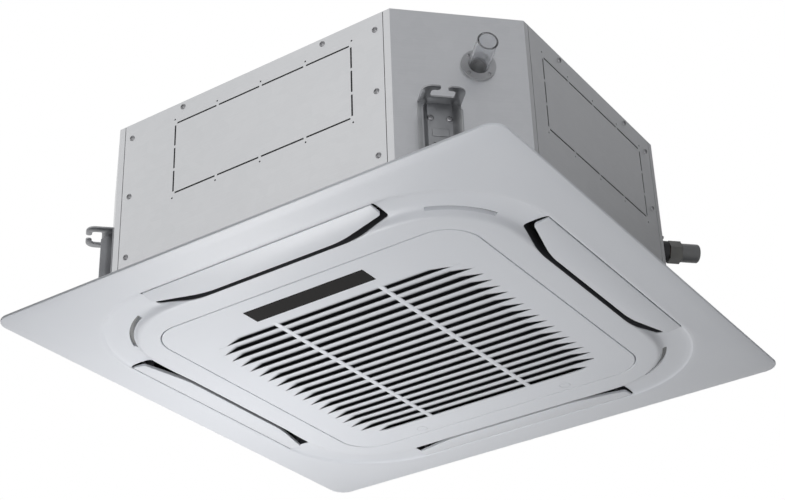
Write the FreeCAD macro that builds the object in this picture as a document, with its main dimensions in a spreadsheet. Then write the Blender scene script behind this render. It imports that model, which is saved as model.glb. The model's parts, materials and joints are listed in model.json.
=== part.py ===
"""Ceiling cassette fan coil unit: galvanised casing, coil, turbo fan, drain pump and white air panel.

Millimetres, +Z up. The origin is the middle of the ceiling plane, on the top face of the panel's rim.
The front is -Y, the side with the display. Sides and corners are drawn at the front and turned into place.
"""
import FreeCAD, Part
import math
import os
import re

import Sketcher

doc = FreeCAD.newDocument("cassette_fan_coil_unit")

# Driving dimensions in millimetres, apart from counts, angles in degrees and shares.
SIZES = {
    # Casing
    "body_half": 420,
    "body_base": 14,
    "body_top": 314,
    "corner_cut": 148,
    "pipe_cut": 262,
    "corner_lip": 12,
    "sheet_wall": 1,
    "half_bend_share": math.tan(math.radians(22.5)),
    "base_flange": 14,
    "strap_half": 20,
    "top_boss_radius": 150,
    "top_boss_rise": 3,
    "top_rib_half": 14,
    "top_rib_inset": 30,
    # Knock-outs and screws of the side panels
    "panel_seam": 1.2,
    "window_margin": 168,
    "pipe_window_margin": 78,
    "window_height": 136,
    "window_middle": 210,
    "window_slot": 3,
    "window_bridge": 5,
    "window_pip": 1.6,
    "window_pip_gap": 7,
    "front_window_shift": 25,
    "screw_head": 5,
    "screw_head_rise": 2.4,
    "screw_shank": 1.8,
    "screw_hole": 2,
    "screw_inset": 16,
    "screw_drop": 9,
    # Hanger brackets
    "hanger_inset_x": 80,
    "hanger_inset_y": 30,
    "hanger_half": 33,
    "hanger_wall": 2,
    "hanger_low": 24,
    "hanger_flange": 20,
    "hanger_gusset": 14,
    "hook_low": 144,
    "hook_wall": 3,
    "hook_tip": 18,
    "hook_round": 9,
    "hook_slot_half": 18.5,
    "hook_slot_depth": 9,
    "hook_mouth_half": 6.5,
    "hanger_screw_half": 14,
    "hanger_screw_rise": 118,
    # Liner and drain pan
    "liner_wall": 12,
    "pan_top": 62,
    "pan_floor": 30,
    "pan_bore_inset": 70,
    "trough_play": 6,
    # Coil
    "coil_inset": 100,
    "coil_wall": 40,
    "coil_cut": 118,
    "coil_stop": 170,
    "coil_top": 285,
    "coil_plate": 2,
    "bend_radius": 12.5,
    "bend_tube": 5,
    "bend_count": 4,
    "header_radius": 11,
    "header_top": 270,
    "header_spigot": 10,
    "header_reach": 16,
    "outlet_header_inset_x": 8,
    "outlet_header_inset_y": 94,
    "outlet_header_low": 150,
    "inlet_header_inset_x": 34,
    "inlet_header_inset_y": 84,
    "inlet_header_low": 64,
    "feeder_tube": 5,
    "feeder_count": 4,
    # Water pipes
    "outlet_pipe_z": 177,
    "inlet_pipe_z": 88,
    "pipe_radius": 13,
    "pipe_bore": 11,
    "pipe_hole_play": 0.4,
    "sleeve_radius": 19,
    "sleeve_reach": 54,
    "nut_corner": 20,
    "nut_start": 56,
    "nut_length": 22,
    "cap_radius": 16.5,
    "cap_length": 34,
    "cap_round": 4,
    "bleed_radius": 4,
    "bleed_knob": 6,
    "bleed_knob_wall": 3.5,
    "bleed_rise": 14,
    "bleed_reach": 46,
    "liner_hole": 24,
    # Fan
    "motor_radius": 70,
    "motor_low": 222,
    "motor_high": 302,
    "motor_bore_top": 292,
    "bush_radius": 9,
    "bush_ring": 50,
    "bush_count": 4,
    "shaft_radius": 6,
    "shaft_play": 0.05,
    "shaft_low": 176,
    "shaft_high": 288,
    "shaft_nut_corner": 11,
    "hub_low": 188,
    "hub_high": 214,
    "hub_radius": 28,
    "impeller_play": 25,
    "impeller_ring": 65,
    "impeller_low": 64,
    "impeller_high": 208,
    "impeller_wall": 3,
    "blade_eye_gap": 5,
    "blade_tip_inset": 3,
    "blade_wall": 2.5,
    "blade_count": 9,
    "blade_sweep_angle": 36,
    "blade_bow_share": 0.58,
    # Bellmouth
    "bell_seat": 12,
    "bell_play": 8,
    "bell_round": 48,
    "bell_wall": 3,
    # Control box
    "control_half": 150,
    "control_inset": 20,
    "control_depth": 72,
    "control_low": 4,
    "control_wall": 1.5,
    "control_cover": 1.5,
    "control_play": 1,
    # Drain side
    "drain_shift": 28,
    "drain_z": 220,
    "drain_radius": 16,
    "drain_root": 15.7,
    "drain_bore": 13,
    "drain_reach": 63,
    "drain_play": 0.05,
    "drain_flange": 27,
    "drain_flange_wall": 4,
    "flange_screw_ring": 22,
    "flange_screw_head": 3,
    "flange_screw_rise": 2,
    "flange_screw_count": 4,
    "flange_screw_turn": 45,
    "pump_depth": 60,
    "pump_radius": 32,
    "pump_low": 42,
    "pump_high": 150,
    "pump_spigot": 10.9,
    "pump_spigot_rise": 15,
    "pump_rim": 3,
    "bracket_wall": 3,
    "bracket_start": 45,
    "bracket_end": 64,
    "bracket_depth": 95,
    "bracket_tab": 37,
    "hose_bore": 11,
    "hose_radius": 14,
    "hose_bend": 40,
    "float_shift": 25,
    "float_stem": 4,
    "float_play": 0.3,
    "float_radius": 14,
    "float_low": 42,
    "float_high": 60,
    "float_stop": 8,
    "float_stop_wall": 2,
    "sump_inner": 115,
    "sump_outer": 20,
    "sump_side": 8,
    "liner_window_side": 8,
    "liner_window_low": 145,
    "liner_window_high": 245,
    # Air panel
    "panel_overlap": 55,
    "panel_corner": 29,
    "rim_wall": 5,
    "border_inset": 3,
    "border_drop": 4,
    "border_round": 5,
    "crease_inset": 12,
    "crease_corner": 193,
    "plateau_inset": 53,
    "plateau_corner": 143,
    "plateau_drop": 11,
    "plateau_slope": 6,
    "slit_width": 7,
    "slit_half_angle": 20,
    "pocket_play": 2,
    "pocket_wall": 2.5,
    "pocket_rise": 12,
    "seal_inset": 1,
    "seal_wall": 6,
    "collar_wall": 4,
    "collar_roof": 1.2,
    "lug_half": 22,
    "lug_inset": 47.6,
    "lug_overlap": 22.4,
    "lug_wall": 4,
    "lug_screw_inset": 30.6,
    "lug_boss": 9,
    "panel_screw_head": 6,
    "panel_screw_rise": 3.5,
    "panel_screw_shank": 2.5,
    # Air outlets and louvers
    "outlet_end_inset": 186,
    "outlet_taper": 72,
    "outlet_bite": 6.5,
    "outlet_end_step": 8,
    "louver_end_gap": 15,
    "louver_gap": 2,
    "louver_mid_step": 20,
    "louver_end_depth": 23,
    "louver_edge_rise": 0.5,
    "louver_slope": 3,
    "louver_head_gap": 0.5,
    "louver_pivot_rise": 5,
    "louver_lug": 7,
    "louver_lug_inset": 1,
    "louver_lug_outer": 8,
    "louver_lug_inner": 5,
    "louver_lug_head": 4.5,
    "louver_pin": 2.5,
    "louver_pin_end": 3.5,
    "louver_pin_drive": 14,
    "pin_play": 0.05,
    "louver_motor_radius": 11,
    "louver_motor_length": 20,
    "louver_motor_seat": 1,
    "louver_nose_half": 7,
    "louver_motor_play": 2,
    # Suction grille
    "grille_gap": 1,
    "opening_inset": 52.6,
    "opening_corner": 60.4,
    "opening_bevel": 1.1,
    "grille_wall": 10,
    "grille_bevel": 1.1,
    "slot_count": 19,
    "slot_margin": 99.4,
    "slot_end_margin": 64.4,
    "slot_share": 0.6735,
    "slot_lean": 7,
    "slot_field_inset": 66.4,
    "slot_field_corner": 45,
    "slot_field_edge": 9,
    "rib_place": 108,
    "rib_width": 9,
    "hinge_corner": 102.4,
    "hinge_half": 5,
    "hinge_play": 0.5,
    "hinge_inset": 9.4,
    "hinge_rise": 1.6,
    "hinge_ear": 6,
    "hinge_ear_low": 1.4,
    "hinge_ear_high": 4,
    "hinge_pin": 1,
    "hinge_pin_half": 12,
    "hinge_notch": 7.5,
    "latch_corner": 152.4,
    "latch_inset": 19.4,
    "latch_radius": 9,
    "latch_play": 0.3,
    "latch_flange": 11.5,
    "latch_flange_wall": 3,
    "filter_inset": 52.4,
    "filter_wall": 8,
    "filter_rim": 12,
    "filter_net": 1.5,
    "display_shift": -9,
    "display_inset": 50.4,
    "display_length": 232,
    "display_width": 37,
    "display_wall": 2.9,
    "display_rise": 0.4,
    "display_play": 0.2,
    "display_ledge": 4,
    "board_wall": 1.6,
    # One overrun serves all cuts
    "cut_over": 2,
}

# Sizes that follow from the others, so that the unit keeps together when the casing grows or shrinks.
DERIVED = {
    "corner_flat": "body_half - corner_cut",
    "pipe_flat": "body_half - pipe_cut",
    "top_rib_end": "body_half - top_rib_inset",
    "window_width": "2 * (corner_flat - corner_lip) - window_margin",
    "pipe_side_window_width": "corner_flat + pipe_flat - 2 * corner_lip - pipe_window_margin",
    "hanger_pitch_x": "2 * (body_half - hanger_inset_x)",
    "hanger_pitch_y": "2 * (body_half - hanger_inset_y)",
    "coil_half": "body_half - coil_inset",
    "coil_flat": "coil_half - coil_cut",
    "coil_end": "coil_half - coil_stop",
    "outlet_header_x": "coil_half - outlet_header_inset_x",
    "outlet_header_y": "coil_half - outlet_header_inset_y",
    "inlet_header_x": "coil_half - inlet_header_inset_x",
    "inlet_header_y": "coil_half - inlet_header_inset_y",
    "pan_bore": "coil_half - pan_bore_inset",
    "impeller_radius": "pan_bore - impeller_play",
    "impeller_eye": "impeller_radius - impeller_ring",
    "blade_inner": "impeller_eye + blade_eye_gap",
    "blade_outer": "impeller_radius - blade_tip_inset",
    "bell_flange": "pan_bore + bell_seat",
    "bell_throat": "impeller_eye - bell_play",
    "control_far": "coil_half - control_inset",
    "control_near": "control_far - control_depth",
    "panel_half": "body_half + panel_overlap",
    "crease_half": "body_half - crease_inset",
    "plateau_half": "crease_half - plateau_inset",
    "outlet_half": "crease_half - outlet_end_inset",
    "outlet_mid_half": "outlet_half - outlet_taper",
    "opening_half": "plateau_half - opening_inset",
    "opening_reach": "(opening_half - opening_corner) * sqrt(2) + opening_corner",
    "lug_inner": "opening_reach - lug_inset",
    "lug_outer": "opening_reach + lug_overlap",
    "lug_screw_ring": "opening_reach - lug_screw_inset",
    "slot_field_half": "opening_half - slot_field_inset",
    "slot_first": "slot_margin - opening_half",
    "slot_pitch": "(2 * opening_half - slot_margin - slot_end_margin) / (slot_count - 1)",
    "slot_width": "slot_pitch * slot_share",
    "hinge_place": "opening_half - hinge_corner",
    "latch_place_x": "opening_half - latch_corner",
    "latch_place_y": "opening_half - latch_inset",
    "filter_half": "opening_half - filter_inset",
    "display_place": "display_inset - opening_half",
}

sheet = doc.addObject("Spreadsheet::Sheet", "Sizes")
for row, (alias, number) in enumerate(SIZES.items(), start=1):
    sheet.set(f"A{row}", alias)
    sheet.set(f"B{row}", str(number))
    sheet.setAlias(f"B{row}", alias)
doc.recompute()

WORD = re.compile(r"[a-z_]+")
UP = FreeCAD.Vector(0, 0, 1)
# Rotations that lay a cylinder's axis along the named direction.
ALONG = {
    "z": FreeCAD.Rotation(),
    "x": FreeCAD.Rotation(FreeCAD.Vector(0, 1, 0), 90),
    "y": FreeCAD.Rotation(FreeCAD.Vector(1, 0, 0), -90),
    "out": FreeCAD.Rotation(FreeCAD.Vector(1, 0, 0), 90),
}
# A third of a turn about this axis carries X to Y, Y to Z and Z to X.
CYCLE = FreeCAD.Vector(1, 1, 1)
CYCLE_ANGLE = 360 / 3
SIDES = {"front": 0, "right": 90, "back": 180, "left": 270}
CORNERS = {"drain": 45, "pipe": 135, "back_left": 225, "front_left": 315}
# The end of each louver with its motor, as the sign of X at the front; none is at the pipe corner.
DRIVE_ENDS = {"front": 1, "right": -1, "back": 1, "left": 1}
nodes = []


def expand(formula):
    """A formula with each derived size written out in driving sizes."""
    def spell(word):
        name = word.group()
        return f"({expand(DERIVED[name])})" if name in DERIVED else name
    return WORD.sub(spell, formula)


def linked(formula):
    """A formula in size names, as the document's expressions spell it."""
    def spell(word):
        name = word.group()
        return f"{sheet.Name}.{name}" if name in SIZES else name
    return WORD.sub(spell, expand(formula))


def value(formula):
    """The number that a formula in size names gives."""
    return float(sheet.evalExpression(expand(formula)))


def place(thing, x, y, z):
    for axis, formula in zip("xyz", (x, y, z)):
        thing.setExpression(f"Placement.Base.{axis}", linked(formula))
    return thing


def block(x, y, z):
    """A box between a low and a high formula on each axis."""
    box = doc.addObject("Part::Box", "block")
    for side, (low, high) in zip(("Length", "Width", "Height"), (x, y, z)):
        box.setExpression(side, linked(f"({high}) - ({low})"))
    return place(box, x[0], y[0], z[0])


def span(sign, near, far):
    """Low and high formulas of a stretch on one side of the middle."""
    return (near, far) if sign > 0 else (f"-({far})", f"-({near})")


def rod(radius, start, length, along="z"):
    """A cylinder from a start point; "out" is the front's outward direction, -Y."""
    cylinder = doc.addObject("Part::Cylinder", "rod")
    cylinder.setExpression("Radius", linked(radius))
    cylinder.setExpression("Height", linked(length))
    cylinder.Placement = FreeCAD.Placement(FreeCAD.Vector(), ALONG[along])
    return place(cylinder, *start)


def hexagon(corner, start, length, along="z"):
    prism_six = doc.addObject("Part::Prism", "hexagon")
    prism_six.Polygon = 6
    prism_six.setExpression("Circumradius", linked(corner))
    prism_six.setExpression("Height", linked(length))
    prism_six.Placement = FreeCAD.Placement(FreeCAD.Vector(), ALONG[along])
    return place(prism_six, *start)


def bend(radius, tube, centre, turn, angle):
    """A part of a torus about a centre."""
    torus = doc.addObject("Part::Torus", "bend")
    torus.setExpression("Radius1", linked(radius))
    torus.setExpression("Radius2", linked(tube))
    torus.Angle3 = angle
    torus.Placement = FreeCAD.Placement(FreeCAD.Vector(), FreeCAD.Rotation(CYCLE, turn))
    return place(torus, *centre)


def join(*pieces):
    if len(pieces) == 1:
        return pieces[0]
    fused = doc.addObject("Part::MultiFuse", "joined")
    fused.Shapes = list(pieces)
    fused.Refine = True
    return fused


def group(*pieces):
    """Separate solids kept in one object."""
    compound = doc.addObject("Part::Compound", "group")
    compound.Links = list(pieces)
    return compound


def minus(base, *tools):
    cut = doc.addObject("Part::Cut", "cut")
    cut.Base = base
    cut.Tool = tools[0] if len(tools) == 1 else group(*tools)
    return cut


def common(first, second):
    shared = doc.addObject("Part::Common", "common")
    shared.Base = first
    shared.Tool = second
    return shared


def turned(piece, angle):
    """A copy turned about the unit's vertical axis."""
    copy = group(piece)
    copy.Placement = FreeCAD.Placement(FreeCAD.Vector(), FreeCAD.Rotation(UP, angle))
    return copy


def solid(shape):
    """A document object for a shape that Part's own functions made from the sizes."""
    feature = doc.addObject("Part::Feature", "solid")
    feature.Shape = shape
    return feature


def prism(outline, low, high, normal="z"):
    """A padded sketch of (across, up) formulas between two heights along Z or X."""
    body = doc.addObject("PartDesign::Body", "body")
    sketch = body.newObject("Sketcher::SketchObject", "outline")
    role = {"z": "XY_Plane", "x": "YZ_Plane"}[normal]
    planes = [feature for feature in body.Origin.OriginFeatures if feature.Role == role]
    sketch.AttachmentSupport = [(planes[0], "")]
    sketch.MapMode = "FlatFace"
    points = [FreeCAD.Vector(value(across), value(up), 0) for across, up in outline]
    for point, following in zip(points, points[1:] + points[:1]):
        sketch.addGeometry(Part.LineSegment(point, following), False)
    for index in range(len(points)):
        sketch.addConstraint(Sketcher.Constraint("Coincident", index, 2, (index + 1) % len(points), 1))
    for index, (point, formulas) in enumerate(zip(points, outline)):
        for kind, place_now, formula in zip(("DistanceX", "DistanceY"), point, formulas):
            constraint = sketch.addConstraint(Sketcher.Constraint(kind, -1, 1, index, 1, place_now))
            sketch.setExpression(f"Constraints[{constraint}]", linked(formula))
    pad = body.newObject("PartDesign::Pad", "pad")
    pad.Profile = sketch
    pad.setExpression("Length", linked(f"({high}) - ({low})"))
    body.setExpression(f"Placement.Base.{normal}", linked(low))
    return body


def rounded_square(half, corner, z):
    """A square wire about the vertical axis with round corners; numbers, not formulas."""
    flat = half - corner
    edges = []
    for quarter in range(4):
        angle = math.pi / 2 * quarter
        turn = FreeCAD.Rotation(UP, math.degrees(angle))
        start = turn.multVec(FreeCAD.Vector(half, -flat, 0))
        end = turn.multVec(FreeCAD.Vector(half, flat, 0))
        diagonal = flat + corner * math.cos(math.pi / 4)
        middle = turn.multVec(FreeCAD.Vector(diagonal, diagonal, 0))
        following = turn.multVec(FreeCAD.Vector(flat, half, 0))
        edges.append(Part.LineSegment(start, end).toShape())
        edges.append(Part.Arc(end, middle, following).toShape())
    wire = Part.Wire(edges)
    wire.translate(FreeCAD.Vector(0, 0, z))
    return wire


def rounded_slab(*levels):
    """A solid through rounded squares, each level a (half, corner, height) of formulas."""
    wires = [rounded_square(*(value(formula) for formula in level)) for level in levels]
    return solid(Part.makeLoft(wires, True, True))


def finish(label, piece, turn=0):
    """Names a sub-part, turns it from the front to its place and lists it."""
    if turn:
        piece.Placement = FreeCAD.Placement(FreeCAD.Vector(), FreeCAD.Rotation(UP, turn))
    piece.Label = label
    nodes.append(piece)


# Shared levels and planes
floor = "(body_base + sheet_wall)"
lid = "(body_top - sheet_wall)"
corner_plane = "((body_half + corner_flat) / sqrt(2))"
pipe_plane = "((body_half + pipe_flat) / sqrt(2))"
plain_end = "(corner_flat - corner_lip)"
pipe_end = "(pipe_flat - corner_lip)"
rim_low = "(-rim_wall)"
grille_low = "(-rim_wall - plateau_drop)"
grille_high = f"({grille_low} + grille_wall)"
outlet_inner = "(plateau_half - outlet_bite)"
outlet_end_inner = "(plateau_half + outlet_end_step)"
control_high = "(pan_floor - bell_wall)"
hinge_out = "(opening_half - grille_gap - hinge_inset)"
hinge_z = f"({grille_low} + hinge_rise)"


def octagon(inset):
    """The casing's outline in plan, moved inwards, with the larger cut at the pipe corner."""
    side = f"(body_half - ({inset}))"
    plain = f"(corner_flat - ({inset}) * half_bend_share)"
    pipe = f"(pipe_flat - ({inset}) * half_bend_share)"
    return (
        (f"-{plain}", f"-{side}"), (plain, f"-{side}"), (side, f"-{plain}"), (side, pipe),
        (pipe, side), (f"-{plain}", side), (f"-{side}", plain), (f"-{side}", f"-{plain}"),
    )


def make_top_plate():
    plate = prism(octagon("0"), lid, "body_top")
    boss_top = "(body_top + top_boss_rise)"
    boss = rod("top_boss_radius", ("0", "0", "body_top"), "top_boss_rise")
    ribs = [
        block(("-top_rib_half", "top_rib_half"), ("-top_rib_end", "top_rib_end"), ("body_top", boss_top)),
        block(("-top_rib_end", "top_rib_end"), ("-top_rib_half", "top_rib_half"), ("body_top", boss_top)),
    ]
    finish("top_plate", join(plate, boss, *ribs))


def make_base_frame():
    ring = minus(
        prism(octagon("0"), "body_base", floor),
        prism(octagon("base_flange"), "body_base - cut_over", f"{floor} + cut_over"),
    )
    straps = []
    for corner, angle in CORNERS.items():
        plane = pipe_plane if corner == "pipe" else corner_plane
        outer = f"-({plane} - base_flange)"
        strap = block(
            ("-strap_half", "strap_half"), (outer, "-lug_inner"), ("body_base", floor))
        hole = rod("panel_screw_shank + pin_play", ("0", "-lug_screw_ring", "body_base - cut_over"),
                   "sheet_wall + 2 * cut_over")
        straps.append(turned(minus(strap, hole), angle))
    finish("base_frame", join(ring, *straps))


def panel_screw_places(start, end, ends):
    """Centres of one side panel's screws: three near each end named and two along the top."""
    height = f"({lid} - {floor})"
    rise_shares = ("0.15", "0.53", "0.91")
    top_shares = ("0.24", "0.78")
    places = []
    for share in rise_shares:
        rise = f"({floor} + {height} * {share})"
        for edge in ends:
            across = f"({start} + screw_inset)" if edge == "start" else f"({end} - screw_inset)"
            places.append((across, rise))
    for share in top_shares:
        places.append((f"({start} + ({end} - {start}) * {share})", f"({lid} - screw_drop)"))
    return places


def segments(middle, length, count):
    """Starts and ends of equal slots along a knock-out's edge, with bridges between and at the ends."""
    run = f"(({length} - window_bridge * {count + 1}) / {count})"
    for index in range(count):
        start = f"({middle} - {length} / 2 + window_bridge + ({run} + window_bridge) * {index})"
        yield start, f"({start} + {run})"


def knock_out(centre, width):
    """Cutting tools for one knock-out's slots and the round pips beside it."""
    through = ("-body_half - cut_over", "-body_half + sheet_wall + cut_over")
    low = "(window_middle - window_height / 2)"
    high = "(window_middle + window_height / 2)"
    left = f"({centre} - {width} / 2)"
    right = f"({centre} + {width} / 2)"
    long_slots = 4
    short_slots = 3
    tools = []
    for edge in (low, f"({high} - window_slot)"):
        for start, end in segments(centre, width, long_slots):
            tools.append(block((start, end), through, (edge, f"{edge} + window_slot")))
    for edge in (left, f"({right} - window_slot)"):
        for start, end in segments("window_middle", "window_height", short_slots):
            tools.append(block((edge, f"{edge} + window_slot"), through, (start, end)))
    for index in range(long_slots + 1):
        across = f"({left} + {width} * {index} / {long_slots})"
        for rise in (f"({low} - window_pip_gap)", f"({high} + window_pip_gap)"):
            tools.append(rod("window_pip", (across, through[1], rise), "sheet_wall + 2 * cut_over", "out"))
    return tools


def make_side_panels():
    """Four flat panels; returns the screw places in each, for the screws."""
    spans = {
        "front": (f"-{plain_end}", plain_end, "front_window_shift", "window_width"),
        "right": (f"-{plain_end}", pipe_end, f"(({pipe_end} - {plain_end}) / 2)", "pipe_side_window_width"),
        "back": (f"-{pipe_end}", plain_end, f"(({plain_end} - {pipe_end}) / 2)", "pipe_side_window_width"),
        "left": (f"-{plain_end}", plain_end, "0", "window_width"),
    }
    screws = []
    for side, (start, end, centre, width) in spans.items():
        wide = (f"{start} + panel_seam", f"{end} - panel_seam")
        panel = block(wide, ("-body_half", "-body_half + sheet_wall"), (floor, lid))
        tools = knock_out(centre, width)
        ends = ("end",) if side == "right" else ("start", "end")
        for across, rise in panel_screw_places(start, end, ends):
            begin = (across, "-body_half + sheet_wall + cut_over", rise)
            tools.append(rod("screw_hole", begin, "sheet_wall + 2 * cut_over", "out"))
            screws.append(turned(screw(across, "body_half", rise), SIDES[side]))
        finish(f"{side}_side_panel", minus(panel, *tools), SIDES[side])
    return screws


def screw(across, plane, rise):
    """A pan-head screw through a sheet at the front, its head outside."""
    head = rod("screw_head", (across, f"-{plane}", rise), "screw_head_rise", "out")
    shank = rod("screw_shank", (across, f"-{plane} + sheet_wall", rise), "sheet_wall", "out")
    return join(head, shank)


def make_corner_panels():
    signs = {"drain": (1, -1), "pipe": (1, 1), "back_left": (-1, 1), "front_left": (-1, -1)}
    holes = {
        "drain": [rod("drain_root + pipe_hole_play",
                      ("drain_shift", f"-{corner_plane} + sheet_wall + cut_over", "drain_z"),
                      "sheet_wall + 2 * cut_over", "out")],
        "pipe": [rod("pipe_radius + pipe_hole_play",
                     (across, f"-{pipe_plane} + sheet_wall + cut_over", rise),
                     "sheet_wall + 2 * cut_over", "out")
                 for across, rise in ((pipe_across("outlet"), "outlet_pipe_z"),
                                      (pipe_across("inlet"), "inlet_pipe_z"))],
    }
    for corner, (sign_x, sign_y) in signs.items():
        flat = "pipe_flat" if corner == "pipe" else "corner_flat"
        lip = f"({flat} - corner_lip)"
        inside = "(body_half - sheet_wall)"
        fold = f"({flat} - sheet_wall * half_bend_share)"
        outline = (
            (lip, "body_half"), (flat, "body_half"), ("body_half", flat), ("body_half", lip),
            (inside, lip), (inside, fold), (fold, inside), (lip, inside),
        )
        signed = [(f"{sign_x} * {x}", f"{sign_y} * {y}") for x, y in outline]
        panel = prism(signed, floor, lid)
        if corner in holes:
            panel = minus(panel, turned(group(*holes[corner]), CORNERS[corner]))
        finish(f"{corner}_corner_panel", panel)


def make_hangers():
    """Hanger brackets whose open T-slots stand at the hanging rods; returns their screws."""
    across = "((hanger_pitch_y - hanger_pitch_x) / 2 / sqrt(2))"
    rod_line = "((hanger_pitch_x + hanger_pitch_y) / 2 / sqrt(2))"
    toward = {"drain": -1, "pipe": 1, "back_left": -1, "front_left": 1}
    screws = []
    for corner, angle in CORNERS.items():
        plane = pipe_plane if corner == "pipe" else corner_plane
        middle = f"({toward[corner]} * {across})"
        left = f"({middle} - hanger_half)"
        right = f"({middle} + hanger_half)"
        face = f"(-{plane})"
        tip = f"(-{rod_line} - hook_tip)"
        slot_front = f"(-{rod_line} - hook_slot_depth)"
        slot_back = f"(-{rod_line} + hook_slot_depth)"
        hook_top = "(hook_low + hook_wall)"
        half_outline = (
            ("hanger_half", face), ("hanger_half", f"{tip} + hook_round"), ("hanger_half - hook_round", tip),
            ("hook_mouth_half", tip), ("hook_mouth_half", slot_front), ("hook_slot_half", slot_front),
            ("hook_slot_half", slot_back),
        )
        outline = [(f"{middle} + {across_half}", out) for across_half, out in half_outline]
        outline += [(f"{middle} - ({across_half})", out) for across_half, out in reversed(half_outline)]
        hook = prism(outline, "hook_low", hook_top)
        plate = block((left, right), (f"{face} - hanger_wall", face), ("hanger_low", hook_top))
        stays = []
        for edge in (left, f"({right} - hanger_wall)"):
            thick = (edge, f"{edge} + hanger_wall")
            stays.append(block(thick, (f"{face} - hanger_flange", face), ("hanger_low", "hook_low")))
            stays.append(block(thick, (f"-{rod_line} + hanger_gusset", face),
                               ("hook_low - hanger_gusset * 2", "hook_low")))
        bracket = join(plate, hook, *stays)
        finish(f"{corner}_hanger_bracket", bracket, angle)
        for side in (-1, 1):
            place_across = f"({middle} + {side} * hanger_screw_half)"
            head = rod("screw_head", (place_across, f"{face} - hanger_wall", "hanger_screw_rise"),
                       "screw_head_rise", "out")
            screws.append(turned(head, angle))
    return screws


def make_liner():
    inner = "(sheet_wall + liner_wall)"
    ring = minus(
        prism(octagon("sheet_wall"), "pan_top", lid),
        prism(octagon(inner), "pan_top - cut_over", f"{lid} + cut_over"),
    )
    window = block(
        ("-bracket_start - liner_window_side", "bracket_end + liner_window_side"),
        (f"-{corner_plane} - cut_over", f"-{corner_plane} + {inner} + cut_over"),
        ("liner_window_low", "liner_window_high"))
    holes = [
        rod("liner_hole", (pipe_across(name), f"-{pipe_plane} + {inner} + cut_over", rise),
            "liner_wall + sheet_wall + 2 * cut_over", "out")
        for name, rise in (("outlet", "outlet_pipe_z"), ("inlet", "inlet_pipe_z"))
    ]
    finish("foam_liner", minus(ring, turned(window, CORNERS["drain"]),
                               turned(group(*holes), CORNERS["pipe"])))


def outlet_outline(outer):
    """One air outlet at the front, deeper in its middle than at its ends."""
    return (
        ("-outlet_half", f"-({outer})"), ("outlet_half", f"-({outer})"),
        ("outlet_half", f"-{outlet_end_inner}"), ("outlet_mid_half", f"-{outlet_inner}"),
        ("-outlet_mid_half", f"-{outlet_inner}"), ("-outlet_half", f"-{outlet_end_inner}"),
    )


def motor_place():
    """Middle of a louver motor's round body at the front: across, out and up."""
    across = "(outlet_half + collar_wall)"
    rise = "(louver_motor_radius + louver_motor_seat)"
    return across, louver_pivot(), rise


def louver_pivot():
    return "((crease_half - louver_gap + plateau_half) / 2)"


def make_drain_pan():
    slab = prism(octagon("sheet_wall"), floor, "pan_top")
    trough_outer = "(coil_half + trough_play)"
    trough_inner = "(coil_half - coil_wall - trough_play)"
    trough_flat = "(coil_flat + trough_play * half_bend_share)"
    inner_flat = "(coil_flat - (coil_wall + trough_play) * half_bend_share)"
    over = "pan_top + cut_over"
    trough = minus(
        prism(even_octagon(trough_outer, trough_flat), "pan_floor", over),
        prism(even_octagon(trough_inner, inner_flat), "pan_floor - cut_over", f"{over} + cut_over"),
    )
    through = (f"{floor} - cut_over", over)
    bore = rod("pan_bore", ("0", "0", through[0]), f"({through[1]}) - ({through[0]})")
    sump = block(
        ("-bracket_start - sump_side", "bracket_end + sump_side"),
        (f"-{corner_plane} + sump_outer", f"-{corner_plane} + sump_inner"),
        ("pan_floor", over))
    control = block(
        ("-control_half - control_play", "control_half + control_play"),
        ("-control_far - control_play", "-control_near + control_play"),
        (through[0], control_high))
    outlet_outer = "(body_half - sheet_wall - liner_wall)"
    across, out, rise = motor_place()
    cuts = [trough, bore, control, turned(sump, CORNERS["drain"])]
    for side, angle in SIDES.items():
        outlet = prism(outlet_outline(outlet_outer), *through)
        pocket = block(
            span(DRIVE_ENDS[side], f"{across} - louver_motor_play",
                 f"{across} + louver_motor_length + louver_motor_play"),
            (f"-{out} - louver_motor_radius - louver_motor_play",
             f"-{out} + louver_motor_radius + louver_motor_play"),
            (through[0], f"{rise} + louver_motor_radius + louver_motor_play"))
        inside = prism(octagon("sheet_wall + liner_wall"), *through)
        cuts.append(common(turned(outlet, angle), inside))
        cuts.append(turned(pocket, angle))
    finish("drain_pan", minus(slab, *cuts))


def even_octagon(half, flat):
    """An octagon about the middle with eight corners at (flat, half)."""
    return (
        (f"-{flat}", f"-{half}"), (flat, f"-{half}"), (half, f"-{flat}"), (half, flat),
        (flat, half), (f"-{flat}", half), (f"-{half}", flat), (f"-{half}", f"-{flat}"),
    )


def pipe_across(name):
    """How far along the pipe corner's face a header's pipe comes out."""
    return f"(({name}_header_y - {name}_header_x) / sqrt(2))"


def pipe_depth(name):
    """A header's distance from the vertical axis towards the pipe corner."""
    return f"(({name}_header_y + {name}_header_x) / sqrt(2))"


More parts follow.
